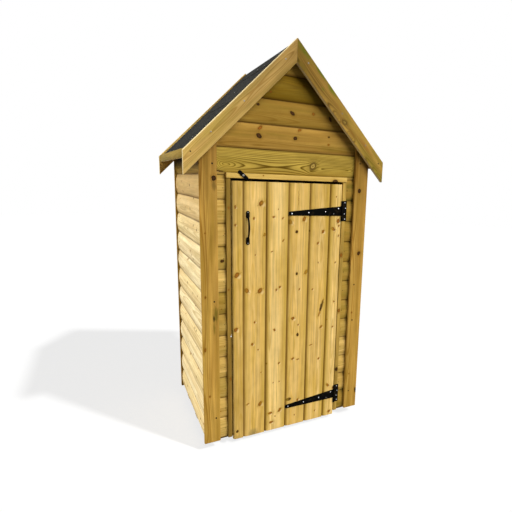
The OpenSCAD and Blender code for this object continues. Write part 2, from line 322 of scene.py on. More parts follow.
@dataclass(frozen=True)
class Timber:
    """A solid softwood finish that follows the grain its piece carries."""

    name: str
    early: Colour
    late: Colour
    stain: Colour
    contrast: float = 0.45
    stained: float = 0.35
    ring: float = 3.4 * MM
    swing: float = 26 * MM
    wander: float = 14 * MM
    spread: float = 0.16
    roughness: float = 0.62
    chance_radius: float = 0.0
    # The next four fields darken a board near its joints and along its grain: partly dirt, partly painted
    # shade.
    low_joint: Point = (14 * MM, 0.0)
    high_joint: Point = (6 * MM, 0.0)
    shade_and_grime: Colour = paint(112, 84, 36)
    darkening_ramp: tuple[Point, ...] = ()
    figure: float = 0.45
    mottle: float = 0.3
    edge_tint: float = 0.0
    flare: float = 0.0
    fibre_depth: float = 0.25 * MM
    # A pale colour for edges and ends below the face: partly the sawn wood, partly a painted highlight where
    # light catches them.
    sawn: Colour | None = None
    sawn_depths: Point = (1.4 * MM, 19.2 * MM)
    sawn_blur: float = 1 * MM
    knots: tuple[Knot, ...] = ()
    bending_radius: float = 5
    spiked_radius: float = 4
    spike_lean: float = 24
    knot_cell: Point = (170 * MM, 75 * MM)
    least_radius: float = 0.4 * MM
    crests: tuple[Point, ...] = ()
    smears: tuple[Smear, ...] = ()

    def build(self) -> bpy.types.Material:
        """Makes the material.

        Returns:
            The material.
        """
        g = Graph(bpy.data.materials.new(self.name))
        grain = g.attribute("grain")
        along, across, depth = g.split(grain)
        pith_across, pith_depth, seed = g.split(g.attribute("pith"))
        shift, cores = self.knot_field(g, along, across, seed)
        drift = self.threads(g, (along, across, depth), (1.0, 5.0), 2.2, 3.0, seed)
        bent = g.math("ADD", g.fused(drift, self.wander, across), shift)
        inside = along, bent, depth
        phase = self.ring_phase(g, along, bent, depth, pith_across, pith_depth, seed)
        growth = ((0.0, (0, 0, 0)), (0.45, (0.12, 0.12, 0.12)), (0.86, (1, 1, 1)), (1.0, (0, 0, 0)))
        late = g.ramp(phase, growth, "EASE")
        streaks = self.threads(g, inside, (0.7, 14.0), 3.0, 3.0, seed)
        colour = g.mix(g.math("MULTIPLY", late, self.contrast), self.early, self.late)
        colour = g.mix(g.fade(streaks, 0.35, 0.68, 0.0, 0.5), colour, self.late)
        cloudy = g.join(g.math("MULTIPLY", along, 0.9), g.math("MULTIPLY", across, 9.0), depth)
        patches = g.noise(cloudy, 3.0, 3.0, g.math("ADD", seed, 9.0))
        colour = g.mix(g.fade(patches, 0.42, 0.72, 0.0, self.stained), colour, self.stain)
        tone = g.add("TexWhiteNoise", {"W": seed}, noise_dimensions="1D").outputs["Value"]
        fine = self.threads(g, inside, (1.1, 40.0), 3.0, 3.0, g.math("ADD", seed, 5.0))
        blotches = g.join(along, g.math("MULTIPLY", bent, 1.8), depth)
        ripple = g.noise(blotches, 15.0, 3.0, g.math("ADD", seed, 3.0))
        base = 1.0 - 0.5 * (self.spread + self.figure + self.mottle)
        level = g.fused(fine, self.figure, g.fused(ripple, self.mottle, base))
        level = g.fused(tone, self.spread, level)
        colour = g.mix(1.0, colour, g.join(level, level, level), "MULTIPLY")
        for kind, near in cores.items():
            colour = self.knot_colour(g, colour, near, kind)
        colour = self.smeared(g, colour, grain, seed) if self.smears else colour
        colour = self.darkened(g, colour, patches)
        # Pale edges and ends: partly sawn wood, partly a painted highlight.
        if self.sawn:
            start, end = self.sawn_depths
            near = g.fade(depth, -start - self.sawn_blur, -start, 1.0, 0.0)
            far = g.fade(depth, -end, self.sawn_blur - end)
            colour = g.mix(g.math("MULTIPLY", near, far), colour, self.sawn)
        fibre = self.threads(g, inside, (6.0, 120.0), 8.0, 2.0, seed)
        height = g.math("ADD", g.math("MULTIPLY", late, 0.5), fibre)
        rough = g.fused(fibre, 0.16, self.roughness - 0.08)
        return g.finish(colour, rough, height, self.fibre_depth, specular=0.04)

    def threads(self, g: Graph, place: tuple[Socket, Socket, Socket], drawn: Point, scale: float,
                detail: float, seed: Socket) -> Socket:
        """Noise that is drawn out along the grain.

        Args:
            g: The graph.
            place: Place along the board, across it and below its face.
            drawn: How much finer the noise runs along the grain, and across it.
            scale: The noise's scale.
            detail: Its octaves.
            seed: The fourth dimension, which keeps boards apart.

        Returns:
            The noise.
        """
        along, across, depth = place
        run, girth = drawn
        spot = g.join(g.math("MULTIPLY", along, run), g.math("MULTIPLY", across, girth),
                      g.math("MULTIPLY", depth, girth))
        return g.noise(spot, scale, detail, seed)

    def smeared(self, g: Graph, colour: Socket, grain: Socket, seed: Socket) -> Socket:
        """Lays soft patches over a board: stains of algae and dirt, painted shade and painted highlights.

        Args:
            g: The graph.
            colour: The board's colour.
            grain: Place on the board.
            seed: The board's own number.

        Returns:
            The colour with its patches.
        """
        fuzz = g.noise(g.vector("MULTIPLY", grain, (18, 70, 0)).outputs[0], 3.0, 4.0, seed)
        for smear in self.smears:
            away = g.vector("SUBTRACT", grain, (smear.along * MM, smear.across * MM, 0)).outputs[0]
            near = self.stretched(g, away, (1 / (smear.reach[0] * MM), 1 / (smear.reach[1] * MM)))
            ragged = g.math("ADD", near, fuzz)
            colour = g.mix(g.fade(ragged, 0.6, 1.5, smear.strength, 0.0), colour, smear.colour)
        return colour

    def darkened(self, g: Graph, colour: Socket, patches: Socket) -> Socket:
        """Darkens a board near its joints, partly dirt and partly painted shade in the joints, and along its
        grain where a ramp is given.

        Args:
            g: The graph.
            colour: The board's colour.
            patches: Slow clouds that make the darkening uneven.

        Returns:
            The colour with its dirt and painted shade.
        """
        if self.darkening_ramp:
            start, end = self.darkening_ramp[0][0], self.darkening_ramp[-1][0]
            run = g.share(g.split(g.attribute("grain"))[0], start, end)
            stops = tuple(((at - start) / (end - start), (much, much, much)) for at, much in self.darkening_ramp)
            colour = g.mix(g.ramp(run, stops), colour, self.shade_and_grime, "MULTIPLY")
        edges = g.split(g.attribute("joint"))
        if self.edge_tint:
            for edge in edges[:2]:
                colour = g.mix(g.fade(edge, 6 * MM, 36 * MM, self.edge_tint, 0.0), colour, self.stain)
        for edge, (reach, strength) in zip(edges, (self.low_joint, self.high_joint)):
            if strength:
                uneven = g.fade(patches, 0.3, 0.7, 0.7 * strength, strength)
                near = g.math("POWER", g.fade(edge, 0.0, reach, 1.0, 0.0), 1.4)
                colour = g.mix(g.math("MULTIPLY", near, uneven), colour, self.shade_and_grime, "MULTIPLY")
        return colour

    def ring_phase(self, g: Graph, along: Socket, across: Socket, depth: Socket,
                   pith_across: Socket, pith_depth: Socket, seed: Socket) -> Socket:
        """Where in a year's growth each point lies, from 0 to 1.

        Args:
            g: The graph.
            along: Place along the board.
            across: Place across it, bent round its knots.
            depth: Place below its face.
            pith_across: Where the tree's middle lies across the board.
            pith_depth: Where it lies below the face.
            seed: The board's own number.

        Returns:
            The phase.
        """
        if self.crests:
            start, end = self.crests[0][0], self.crests[-1][0]
            curve = g.add("FloatCurve", {"Value": g.share(along, start, end)})
            points = curve.mapping.curves[0].points
            for _ in self.crests[2:]:
                points.new(0.5, 0.5)
            for point, (place, lift) in zip(points, self.crests):
                point.location = ((place - start) / (end - start), lift)
            curve.mapping.update()
            bow = curve.outputs[0]
        else:
            bow = g.noise(g.join(along, 0.0), 1.7, 1.0, g.math("ADD", seed, 31.0))
        middle = g.fused(bow, self.swing, pith_depth)
        off = g.join(g.math("SUBTRACT", across, pith_across), g.math("SUBTRACT", depth, middle))
        radius = g.vector("LENGTH", off).outputs["Value"]
        return g.math("FRACT", g.math("DIVIDE", radius, self.ring))

    def knot_field(self, g: Graph, along: Socket, across: Socket,
                   seed: Socket) -> tuple[Socket, dict[KnotKind, Socket]]:
        """How far the knots bend the grain, and how near the nearest of each kind is.

        Args:
            g: The graph.
            along: Place along the board.
            across: Place across it.
            seed: The board's own number.

        Returns:
            The grain's shift across the board, and for each kind the distance in knot radii.
        """
        straight = g.join(along, across)
        cloud = {"Vector": straight, "W": seed, "Scale": 95.0, "Detail": 3.0}
        stray = g.add("TexNoise", cloud, noise_dimensions="4D")
        stray = g.vector("SUBTRACT", stray.outputs["Color"], (0.5, 0.5, 0.5)).outputs[0]
        stray = g.vector("MULTIPLY", stray, (9 * MM, 9 * MM, 0)).outputs[0]
        spot = g.vector("ADD", straight, stray).outputs[0]
        shift = g.math("MULTIPLY", across, 0.0)
        cores: dict[KnotKind, Socket] = {}
        for knot in self.knots:
            away = g.vector("SUBTRACT", spot, (knot.along * MM, knot.across * MM, 0)).outputs[0]
            turned = away
            if knot.lean:
                turn = {"Vector": away, "Angle": -math.radians(knot.lean)}
                turned = g.add("VectorRotate", turn, rotation_type="Z_AXIS").outputs[0]
            radius = knot.radius * MM
            share = 1 / radius
            near = self.stretched(g, turned, (share / knot.stretch, share))
            if knot.radius >= self.bending_radius:
                shift = g.math("ADD", shift, self.grain_shift(g, away, near))
            if knot.kind is KnotKind.LIVE and self.flare:
                beside = g.vector("SUBTRACT", away, (-0.7 * radius, 1.1 * radius, 0)).outputs[0]
                pale = self.stretched(g, beside, (share * 0.7, share * 0.85))
                self.join_core(g, cores, KnotKind.FLARE, pale)
            self.join_core(g, cores, knot.kind, near)
            if knot.kind is KnotKind.LIVE and knot.radius >= self.spiked_radius:
                aside = math.copysign(self.spike_lean, knot.lean + 1)
                turn = {"Vector": away, "Angle": -math.radians(knot.lean + aside)}
                spike = g.add("VectorRotate", turn, rotation_type="Z_AXIS").outputs[0]
                thin = self.stretched(g, spike, (share / (knot.stretch * 1.8), share / 0.2))
                self.join_core(g, cores, KnotKind.SPIKE, thin)
        if self.chance_radius:
            near, away = self.chance_knots(g, along, across, seed)
            shift = g.math("ADD", shift, self.grain_shift(g, away, near))
            self.join_core(g, cores, KnotKind.LIVE, near)
        return shift, cores

    def stretched(self, g: Graph, away: Socket, shares: Point) -> Socket:
        """The length of a way whose two parts are scaled."""
        return g.vector("LENGTH", g.vector("MULTIPLY", away, (*shares, 0)).outputs[0]).outputs["Value"]

    def join_core(self, g: Graph, cores: dict[KnotKind, Socket], kind: KnotKind, near: Socket) -> None:
        """Keeps the nearest knot of a kind."""
        cores[kind] = g.math("MINIMUM", cores[kind], near) if kind in cores else near

    def grain_shift(self, g: Graph, away: Socket, near: Socket) -> Socket:
        """The shift that makes the grain flow round one knot.

        Args:
            g: The graph.
            away: The way from the knot's middle.
            near: The distance in knot radii.

        Returns:
            The shift across the board.
        """
        held = g.math("MAXIMUM", near, 1.0)
        weight = g.math("DIVIDE", g.fade(near, 1.0, 4.5, 1.0, 0.0), g.math("MULTIPLY", held, held))
        return g.math("MULTIPLY", g.math("MULTIPLY", g.split(away)[1], -0.9), weight)

    def chance_knots(self, g: Graph, along: Socket, across: Socket, seed: Socket) -> tuple[Socket, Socket]:
        """Knots that no one chose, one in each cell of a loose lattice.

        Args:
            g: The graph.
            along: Place along the board.
            across: Place across it.
            seed: The board's own number.

        Returns:
            The distance in knot radii, and the way from the knot's middle.
        """
        far = g.join(g.math("MULTIPLY", seed, 31.7), g.math("MULTIPLY", seed, 17.3))
        lattice = g.vector("DIVIDE", g.join(along, across), (*self.knot_cell, 1)).outputs[0]
        place = g.vector("ADD", lattice, far).outputs[0]
        loose = {"Vector": place, "Scale": 1.0, "Randomness": 0.9}
        cells = g.add("TexVoronoi", loose, voronoi_dimensions="2D")
        away = g.vector("SUBTRACT", place, cells.outputs["Position"]).outputs[0]
        away = g.vector("MULTIPLY", away, (*self.knot_cell, 0))
        size = g.math("POWER", g.split(cells.outputs["Color"])[0], 2.0)
        size = g.fused(size, self.chance_radius, self.least_radius)
        near = g.math("DIVIDE", self.stretched(g, away.outputs[0], (0.75, 1)), size)
        return near, away.outputs[0]

    def knot_colour(self, g: Graph, colour: Socket, near: Socket, kind: KnotKind) -> Socket:
        """Lays one kind of knot over the board's colour.

        Args:
            g: The graph.
            colour: The board's colour.
            near: The distance in knot radii.
            kind: The kind of knot.

        Returns:
            The colour with its knots.
        """
        if kind is KnotKind.FLARE:
            return g.mix(g.fade(near, 0.3, 1.2, self.flare, 0.0), colour, (1.0, 0.82, 0.5))
        halo = g.fade(near, 1.0, 2.6, 0.1 if kind is KnotKind.SPIKE else 0.4, 0.0)
        colour = g.mix(halo, colour, self.late)
        rings = g.math("SINE", g.math("MULTIPLY", near, 12.0))
        swing, base = {KnotKind.EYE: (0.5, 0.3), KnotKind.PITCH: (0.02, 0.02)}.get(kind, (0.4, 0.3))
        heart = g.mix(g.fused(rings, swing, base), KNOT_HEART[kind], KNOT_RIM[kind])
        cover = 0.55 if kind is KnotKind.SPIKE else 0.95
        colour = g.mix(g.fade(near, 0.8, 1.15, cover, 0.0), colour, heart)
        sharp = 2.2 if kind is KnotKind.LIVE else 2.6
        off_rim = g.math("ABSOLUTE", g.math("SUBTRACT", near, 0.85))
        rim = g.math("SUBTRACT", 1.0, g.math("MULTIPLY", off_rim, sharp))
        strength = {KnotKind.LIVE: 0.6, KnotKind.SPIKE: 0.0, KnotKind.PITCH: 0.12}.get(kind, 0.95)
        return g.mix(g.math("MULTIPLY", g.math("MAXIMUM", rim, 0.0), strength), colour, KNOT_RIM[kind])


# The loglap pines darken towards their joints: partly dirt, partly painted shade in the laps.
PALE_PINE = Timber("pale_loglap", paint(230, 207, 150), paint(180, 144, 84), paint(180, 154, 94),
                   contrast=0.5, stained=0.45, spread=0.12, chance_radius=5.5 * MM, low_joint=(16 * MM, 0.75),
                   high_joint=(7 * MM, 0.85))
# A darker, more olive copy of the loglap pine for the gable: painted shade under the roof's overhang.
SHADE_PINE = Timber("gable_loglap", paint(180, 144, 62), paint(128, 92, 26), paint(126, 104, 32),
                    contrast=0.6, stained=0.55, spread=0.14, low_joint=(16 * MM, 0.8),
                    high_joint=(8 * MM, 0.9))
FLANK_PINE = Timber("flank_loglap", paint(208, 172, 94), paint(154, 118, 42), paint(146, 120, 44),
                    contrast=0.6, stained=0.6, spread=0.1, chance_radius=3 * MM, low_joint=(9 * MM, 0.6),
                    high_joint=(5 * MM, 0.8))
# Door boards darken and take the stain colour near their joints: painted shade in the hollows.
DOOR_PINE = Timber("door_pine", paint(234, 198, 112), paint(186, 146, 62), paint(178, 142, 46),
                   contrast=0.5, stained=0.55, spread=0.04, swing=34 * MM, ring=4.2 * MM, figure=1.1,
                   mottle=0.45, edge_tint=0.5, flare=0.45, low_joint=(20 * MM, 1.0),
                   high_joint=(5 * MM, 0.7), shade_and_grime=paint(112, 76, 14))
# The corner trims darken towards their tops along a ramp: painted shade under the eaves and bargeboards.
TRIM_PINE = Timber("trim_pine", paint(216, 173, 84), paint(142, 97, 26), paint(146, 114, 34),
                   contrast=0.8, stained=0.55, spread=0.06, figure=0.7,
                   darkening_ramp=((0.0, 0.04), (0.25, 0.0), (0.8, 0.16), (1.2, 0.24), (1.42, 0.46), (1.6, 0.68)))
# A darker copy of the trim pine for the back trims: painted shade.
BACK_TRIM_PINE = Timber("back_trim_pine", paint(168, 132, 58), paint(124, 92, 34), paint(118, 96, 36),
                        contrast=0.55, stained=0.6, spread=0.06)
JAMB_PINE = Timber("jamb_pine", paint(162, 129, 58), paint(110, 80, 24), paint(108, 86, 28),
                   contrast=0.65, stained=0.6, spread=0.06, ring=2.6 * MM)
BATTEN_PINE = Timber("batten_pine", paint(208, 174, 94), paint(168, 126, 44), paint(176, 142, 58),
                     contrast=0.4, spread=0.04)
# Bargeboards darken towards the apex along a ramp, and their pale edges are partly a painted highlight on the
# lit top edge.
BARGE_PINE = Timber("barge_pine", paint(217, 181, 105), paint(152, 112, 46), paint(148, 128, 52),
                    contrast=0.65, stained=0.55, spread=0.04, swing=40 * MM, figure=0.6,
                    sawn=paint(216, 196, 144), sawn_depths=(0.5 * MM, 19.2 * MM),
                    darkening_ramp=((-1.44, 0.55), (-1.1, 0.38), (-0.88, 0.05)))
# The fascia's pale top edge is partly a painted highlight.
FASCIA_PINE = Timber("fascia_pine", paint(156, 130, 62), paint(118, 92, 32), paint(108, 94, 34),
                     contrast=0.5, stained=0.6, spread=0.06, sawn=paint(216, 196, 144),
                     sawn_depths=(0.2 * MM, 60 * MM))
SAWN_PINE = Timber("sawn_pine", paint(208, 172, 104), paint(172, 130, 66), paint(160, 134, 70),
                   contrast=0.5, stained=0.4, roughness=0.8, chance_radius=6 * MM)
# Near-black pine for the outermost roof board and the wall course under the soffit: painted shade.
SHADOWED_PINE = Timber("shadowed_pine", paint(52, 38, 16), paint(36, 26, 10), paint(30, 24, 10), roughness=0.85)
GROUND_PINE = Timber("bearer_pine", paint(158, 124, 66), paint(112, 82, 38), paint(86, 72, 36),
                     contrast=0.5, stained=0.7, roughness=0.85)


@dataclass(frozen=True)
class Felt:
    """Mineral felt: a dark mat under pale and dark grit."""

    name: str = "mineral_felt"
    mat: Colour = paint(10, 10, 8)
    grit: Colour = paint(38, 38, 32)
    dust: Colour = paint(38, 38, 28)
    grains_a_metre: float = 620.0
    clouds_a_metre: float = 6.0
    grain_depth: float = 0.5 * MM
    roughness: float = 0.93

    def build(self) -> bpy.types.Material:
        """Makes the material.

        Returns:
            The material.
        """
        g = Graph(bpy.data.materials.new(self.name))
        place = g.add("TexCoord").outputs["Object"]
        grains = g.add("TexVoronoi", {"Vector": place, "Scale": self.grains_a_metre}, voronoi_dimensions="3D")
        speck = g.split(grains.outputs["Color"])[0]
        cloud = g.noise(place, self.clouds_a_metre, 4.0)
        colour = g.mix(g.fade(speck, 0.35, 1.0, 0.0, 0.75), self.mat, self.grit)
        colour = g.mix(g.fade(cloud, 0.4, 0.75, 0.0, 0.4), colour, self.dust)
        height = g.math("SUBTRACT", speck, grains.outputs["Distance"])
        return g.finish(colour, self.roughness, height, self.grain_depth, specular=0.1)


@dataclass(frozen=True)
class Iron:
    """Black paint on pressed iron, thin and dusty in places."""

    name: str = "black_iron"
    coat: Colour = paint(3, 3, 2)
    dust: Colour = paint(44, 36, 24)
    clouds_a_metre: float = 38.0
    pebbles_a_metre: float = 900.0
    pebble_depth: float = 0.12 * MM

    def build(self) -> bpy.types.Material:
        """Makes the material.

        Returns:
            The material.
        """
        g = Graph(bpy.data.materials.new(self.name))
        place = g.add("TexCoord").outputs["Object"]
        cloud = g.noise(place, self.clouds_a_metre, 4.0)
        pebble = g.noise(place, self.pebbles_a_metre, 2.0)
        colour = g.mix(g.fade(cloud, 0.5, 0.75, 0.0, 0.6), self.coat, self.dust)
        rough = g.fade(cloud, 0.3, 0.75, 0.45, 0.7)
        return g.finish(colour, rough, pebble, self.pebble_depth, specular=0.02)


@dataclass(frozen=True)
class Zinc:
    """Plated steel of screws and nails, bright or gone dull."""

    name: str
    plate: Colour
    roughness: float
    clouds_a_metre: float = 700.0

    def build(self) -> bpy.types.Material:
        """Makes the material.

        Returns:
            The material.
        """
        g = Graph(bpy.data.materials.new(self.name))
        cloud = g.noise(g.add("TexCoord").outputs["Object"], self.clouds_a_metre, 2.0)
        dim = tuple(0.45 * part for part in self.plate)
        colour = g.mix(g.fade(cloud, 0.4, 0.8, 0.0, 0.4), self.plate, dim)
        rough = g.fade(cloud, 0.2, 0.8, self.roughness, self.roughness + 0.2)
        return g.finish(colour, rough, metallic=1.0)


BRIGHT_ZINC = Zinc("bright_zinc", paint(226, 228, 232), 0.28)
DUSTY_STEEL = Zinc("dusty_steel", paint(120, 118, 112), 0.45)
DULL_STEEL = Zinc("dull_steel", paint(42, 32, 20), 0.5)


class Palette:
    """Materials by their finish, each made once."""

    def __init__(self) -> None:
        """Starts with none."""
        self.made: dict[str, bpy.types.Material] = {}

    def get(self, finish: object) -> bpy.types.Material:
        """Gives the material of a finish.

        Args:
            finish: The finish.

        Returns:
            Its material.
        """
        if finish.name not in self.made:
            self.made[finish.name] = finish.build()
        return self.made[finish.name]


PALETTE = Palette()


# ---------------------------------------------------------------- shapes


@dataclass(frozen=True)
class Lie:
    """How a board lies: its start and three unit axes."""

    start: Vector
    along: Vector
    out: Vector
    up: Vector

    def matrix(self) -> Matrix:
        """From board space (along, out, up) to the shed's."""
        turn = Matrix((self.along, self.out, self.up)).transposed()
        return Matrix.Translation(self.start) @ turn.to_4x4()


@dataclass(frozen=True)
class Grain:
    """A board's grain: which way it runs, where its face is and where the tree's middle was."""

    along: Vector
    face: Vector
    centre: Vector
    seed: float
    pith: Point = (0.0, -0.05)
    joints: Point = (-1.0, 1.0)

    def mark(self, bm: BMesh) -> None:
        """Writes the grain to every vertex of a board.

        Args:
            bm: The board.
        """
        layers = bm.verts.layers.float_vector
        grain, pith, joint = [layers.get(name) or layers.new(name) for name in ("grain", "pith", "joint")]
        across = self.face.cross(self.along)
        if across.x + across.y + across.z < 0:
            across = -across
        low, high = self.joints
        for vert in bm.verts:
            off = vert.co - self.centre
            aside = off.dot(across)
            vert[grain] = (vert.co.dot(self.along), aside, off.dot(self.face))
            vert[pith] = (*self.pith, self.seed)
            vert[joint] = (aside - low, high - aside, 0)


def seeded_grain(along: Vector, face: Vector, centre: Vector, seed: int,
                 joints: Point = (-1.0, 1.0)) -> Grain:
    """A grain whose tree is drawn from its seed.

    Args:
        along: The way that the grain runs.
        face: The way that the board's face looks.
        centre: A point on the face's middle line.
        seed: The board's own number.
        joints: Where its joints with its neighbours lie across it, from the middle line.

    Returns:
        The grain.
    """
    draw = random.Random(seed)
    pith = (draw.uniform(-30, 30) * MM, draw.uniform(-75, -28) * MM)
    return Grain(along, face, centre, seed * SEED_STEP, pith, joints)


def outward(bm: BMesh) -> BMesh:
    """Turns every face of a shape outwards."""
    bmesh.ops.recalc_face_normals(bm, faces=bm.faces)
    return bm


def draw_out(bm: BMesh, faces: list[bmesh.types.BMFace], way: Vector) -> None:
    """Draws faces out into a solid.

    Args:
        bm: The shape.
        faces: The faces that move.
        way: How far they move, and where.
    """
    drawn = bmesh.ops.extrude_face_region(bm, geom=faces)["geom"]
    verts = [item for item in drawn if isinstance(item, bmesh.types.BMVert)]
    bmesh.ops.translate(bm, verts=verts, vec=way)


def stand(name: str, data: bpy.types.ID) -> bpy.types.Object:
    """Puts a new object in the scene.

    Args:
        name: Its name.
        data: Its mesh, lamp or camera.

    Returns:
        The object.
    """
    thing = bpy.data.objects.new(name, data)
    bpy.context.scene.collection.objects.link(thing)
    return thing


def prism(outline: Sequence[Point], length: float, cuts: int = 0) -> BMesh:
    """A bar along +X with an outline in the YZ plane.

    Args:
        outline: The outline's corners in order.
        length: The bar's length.
        cuts: How many rings of points lie between its ends.

    Returns:
        The bar.
    """
    bm = bmesh.new()
    end = bm.faces.new([bm.verts.new((0, u, v)) for u, v in outline])
    draw_out(bm, [end], X_AXIS * length)
    if cuts:
        sides = [edge for edge in bm.edges if abs(edge.verts[0].co.x - edge.verts[1].co.x) > length / 2]
        bmesh.ops.subdivide_edges(bm, edges=sides, cuts=cuts, use_grid_fill=True)
    return outward(bm)


def place(bm: BMesh, lie: Lie) -> BMesh:
    """Lays a bar where it belongs, right side out."""
    bmesh.ops.transform(bm, matrix=lie.matrix(), verts=bm.verts)
    return outward(bm)


def saw(bm: BMesh, point: Vector, normal: Vector) -> BMesh:
    """Cuts off what lies past a plane and closes the cut.

    Args:
        bm: What is cut.
        point: A point on the plane.
        normal: The side that goes.

    Returns:
        What is left.
    """
    geom = list(bm.verts) + list(bm.edges) + list(bm.faces)
    cut = bmesh.ops.bisect_plane(bm, geom=geom, dist=CUT_REACH, plane_co=point, plane_no=normal,
                                 clear_outer=True)
    rim = [item for item in cut["geom_cut"] if isinstance(item, bmesh.types.BMEdge)]
    if rim:
        bmesh.ops.holes_fill(bm, edges=rim, sides=0)
        outward(bm)
    return bm


def weather(bm: BMesh, amount: float, seed: int) -> BMesh:
    """Lets a board bow and wave a little.

    Args:
        bm: The board.
        amount: The most that a point moves, in metres.
        seed: The board's own number.

    Returns:
        The board.
    """
    for vert in bm.verts:
        at = vert.co * 2.6 + Vector((seed * 3.1, seed * 1.7, 0))
        vert.co += noise.noise_vector(at) * amount
    return bm


class Piece:
    """A mesh that grows board by board, each with its own finish."""

    def __init__(self, name: str) -> None:
        """Starts an empty piece.

        Args:
            name: The piece's name.
        """
        self.name = name
        self.mesh = bpy.data.meshes.new(name)
        self.whole = bmesh.new()
        self.slots: list[bpy.types.Material] = []

    def take(self, bm: BMesh, finish: object) -> None:
        """Adds a part and frees it.

        Args:
            bm: The part.
            finish: Its finish.
        """
        material = PALETTE.get(finish)
        if material not in self.slots:
            self.slots.append(material)
        for face in bm.faces:
            face.material_index = self.slots.index(material)
        part = bpy.data.meshes.new("part")
        bm.to_mesh(part)
        bm.free()
        self.whole.from_mesh(part)
        bpy.data.meshes.remove(part)

    def done(self, body: str, slot: str, *nodes: str) -> bpy.types.Object:
        """Closes the piece and seats it in the frame.

        Args:
            body: The body that it rides on.
            slot: The record's material slot; not used.
            *nodes: The part's nodes that it stands for.

        Returns:
            The piece's object.
        """
        self.whole.to_mesh(self.mesh)
        self.whole.free()
        for material in self.slots:
            self.mesh.materials.append(material)
        self.mesh.shade_smooth()
        self.mesh.set_sharp_from_angle(angle=SHARP)
        piece = stand(self.name, self.mesh)
        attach(piece, body)
        if nodes:
            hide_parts(*nodes)
        log.info("%s: %d faces", self.name, len(self.mesh.polygons))
        return piece


def solid(node: str, arris: float) -> BMesh:
    """A node's own shape with its arrises eased.

    Args:
        node: The part's node.
        arris: Width of the eased edge.

    Returns:
        The shape.
    """
    bm = bmesh.new()
    bm.from_mesh(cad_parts[node].data)
    bmesh.ops.remove_doubles(bm, verts=bm.verts, dist=0.01 * MM)
    bmesh.ops.dissolve_limit(bm, angle_limit=math.radians(1), verts=bm.verts, edges=bm.edges)
    edges = [edge for edge in bm.edges if len(edge.link_faces) == 2 and edge.calc_face_angle() > SHARP
             and edge.calc_length() > SHORTEST_ARRIS]
    bmesh.ops.bevel(bm, geom=edges, offset=arris, offset_type="OFFSET", segments=2, profile=0.5,
                    affect="EDGES", clamp_overlap=True, material=-1)
    return outward(bm)


def middle(node: str) -> Vector:
    """The middle of a node's box."""
    low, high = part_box(node)
    return (low + high) / 2


@dataclass
class Roofline:
    """The underside of the roof, read from the pieces that are cut to it."""

    ridge: float = field(default_factory=lambda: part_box("gable_front")[1].z)
    slope: float = field(init=False)

    def __post_init__(self) -> None:
        """Works out the slope from the side wall's top."""
        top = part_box("wall_left")[1]
        self.slope = (self.ridge - top.z) / -top.x

    def trim(self, bm: BMesh) -> BMesh:
        """Cuts a piece to both slopes.

        Args:
            bm: The piece.

        Returns:
            What is left.
        """
        for side in (-1, 1):
            saw(bm, Vector((0, 0, self.ridge)), Vector((side * self.slope, 0, 1)).normalized())
        return bm

    def pitch(self) -> float:
        """The slope's angle from level."""
        return math.atan(self.slope)


# ---------------------------------------------------------------- fixings


def drive(head: BMesh, at: Vector, out: Vector, spin: Matrix) -> BMesh:
    """Seats a head that was made looking up.

    Args:
        head: The head.
        at: Where its middle touches the surface.
        out: The way that the surface looks.
        spin: How it is turned about its own axis first.

    Returns:
        The head in its place.
    """
    turn = out.to_track_quat("Z", "Y").to_matrix().to_4x4() @ spin
    bmesh.ops.transform(head, matrix=turn, verts=head.verts)
    bmesh.ops.translate(head, verts=head.verts, vec=at)
    return head


@dataclass(frozen=True)
class Screw:
    """A countersunk head with a cross recess, lying in its surface."""

    radius: float = 3.9 * MM
    proud: float = 0.7 * MM

    def build(self, at: Vector, out: Vector, turn: float = 0.4) -> BMesh:
        """Makes one head.

        Args:
            at: Where its middle touches the surface.
            out: The way that the surface looks.
            turn: How far the cross is turned.

        Returns:
            The head.
        """
        bm = bmesh.new()
        bmesh.ops.create_circle(bm, cap_ends=True, radius=self.radius, segments=16)
        face = bm.faces[:][0]
        self.lift(bm, face, self.proud * 0.6, 1.0)
        self.lift(bm, face, self.proud * 0.4, 0.8)
        bmesh.ops.inset_region(bm, faces=[face], thickness=self.radius * 0.22)
        for number, vert in enumerate(face.verts):
            if number % 4:
                vert.co.xy *= 0.42 if number % 2 else 0.38
        self.lift(bm, face, -self.proud * 0.9, 0.7)
        return drive(outward(bm), at, out, Matrix.Rotation(turn, 4, "Z"))

    def lift(self, bm: BMesh, face: bmesh.types.BMFace, rise: float, scale: float) -> None:
        """Draws a face out and narrows it.

        Args:
            bm: The head.
            face: The face.
            rise: How far it moves.
            scale: How wide it stays.
        """
        bmesh.ops.inset_individual(bm, faces=[face], thickness=0.0)
        centre = face.calc_center_median()
        for vert in face.verts:
            vert.co = centre + (vert.co - centre) * scale + Vector((0, 0, rise))


@dataclass(frozen=True)
class Nail:
    """A small domed nail head."""

    radius: float = 2.2 * MM
    dome: float = 0.35

    def build(self, at: Vector, out: Vector) -> BMesh:
        """Makes one head.

        Args:
            at: Where its middle touches the surface.
            out: The way that the surface looks.

        Returns:
            The head.
        """
        bm = bmesh.new()
        bmesh.ops.create_uvsphere(bm, u_segments=10, v_segments=6, radius=self.radius)
        bmesh.ops.scale(bm, verts=bm.verts, vec=(1, 1, self.dome))
        return drive(bm, at, out, Matrix.Identity(4))


# ---------------------------------------------------------------- loglap


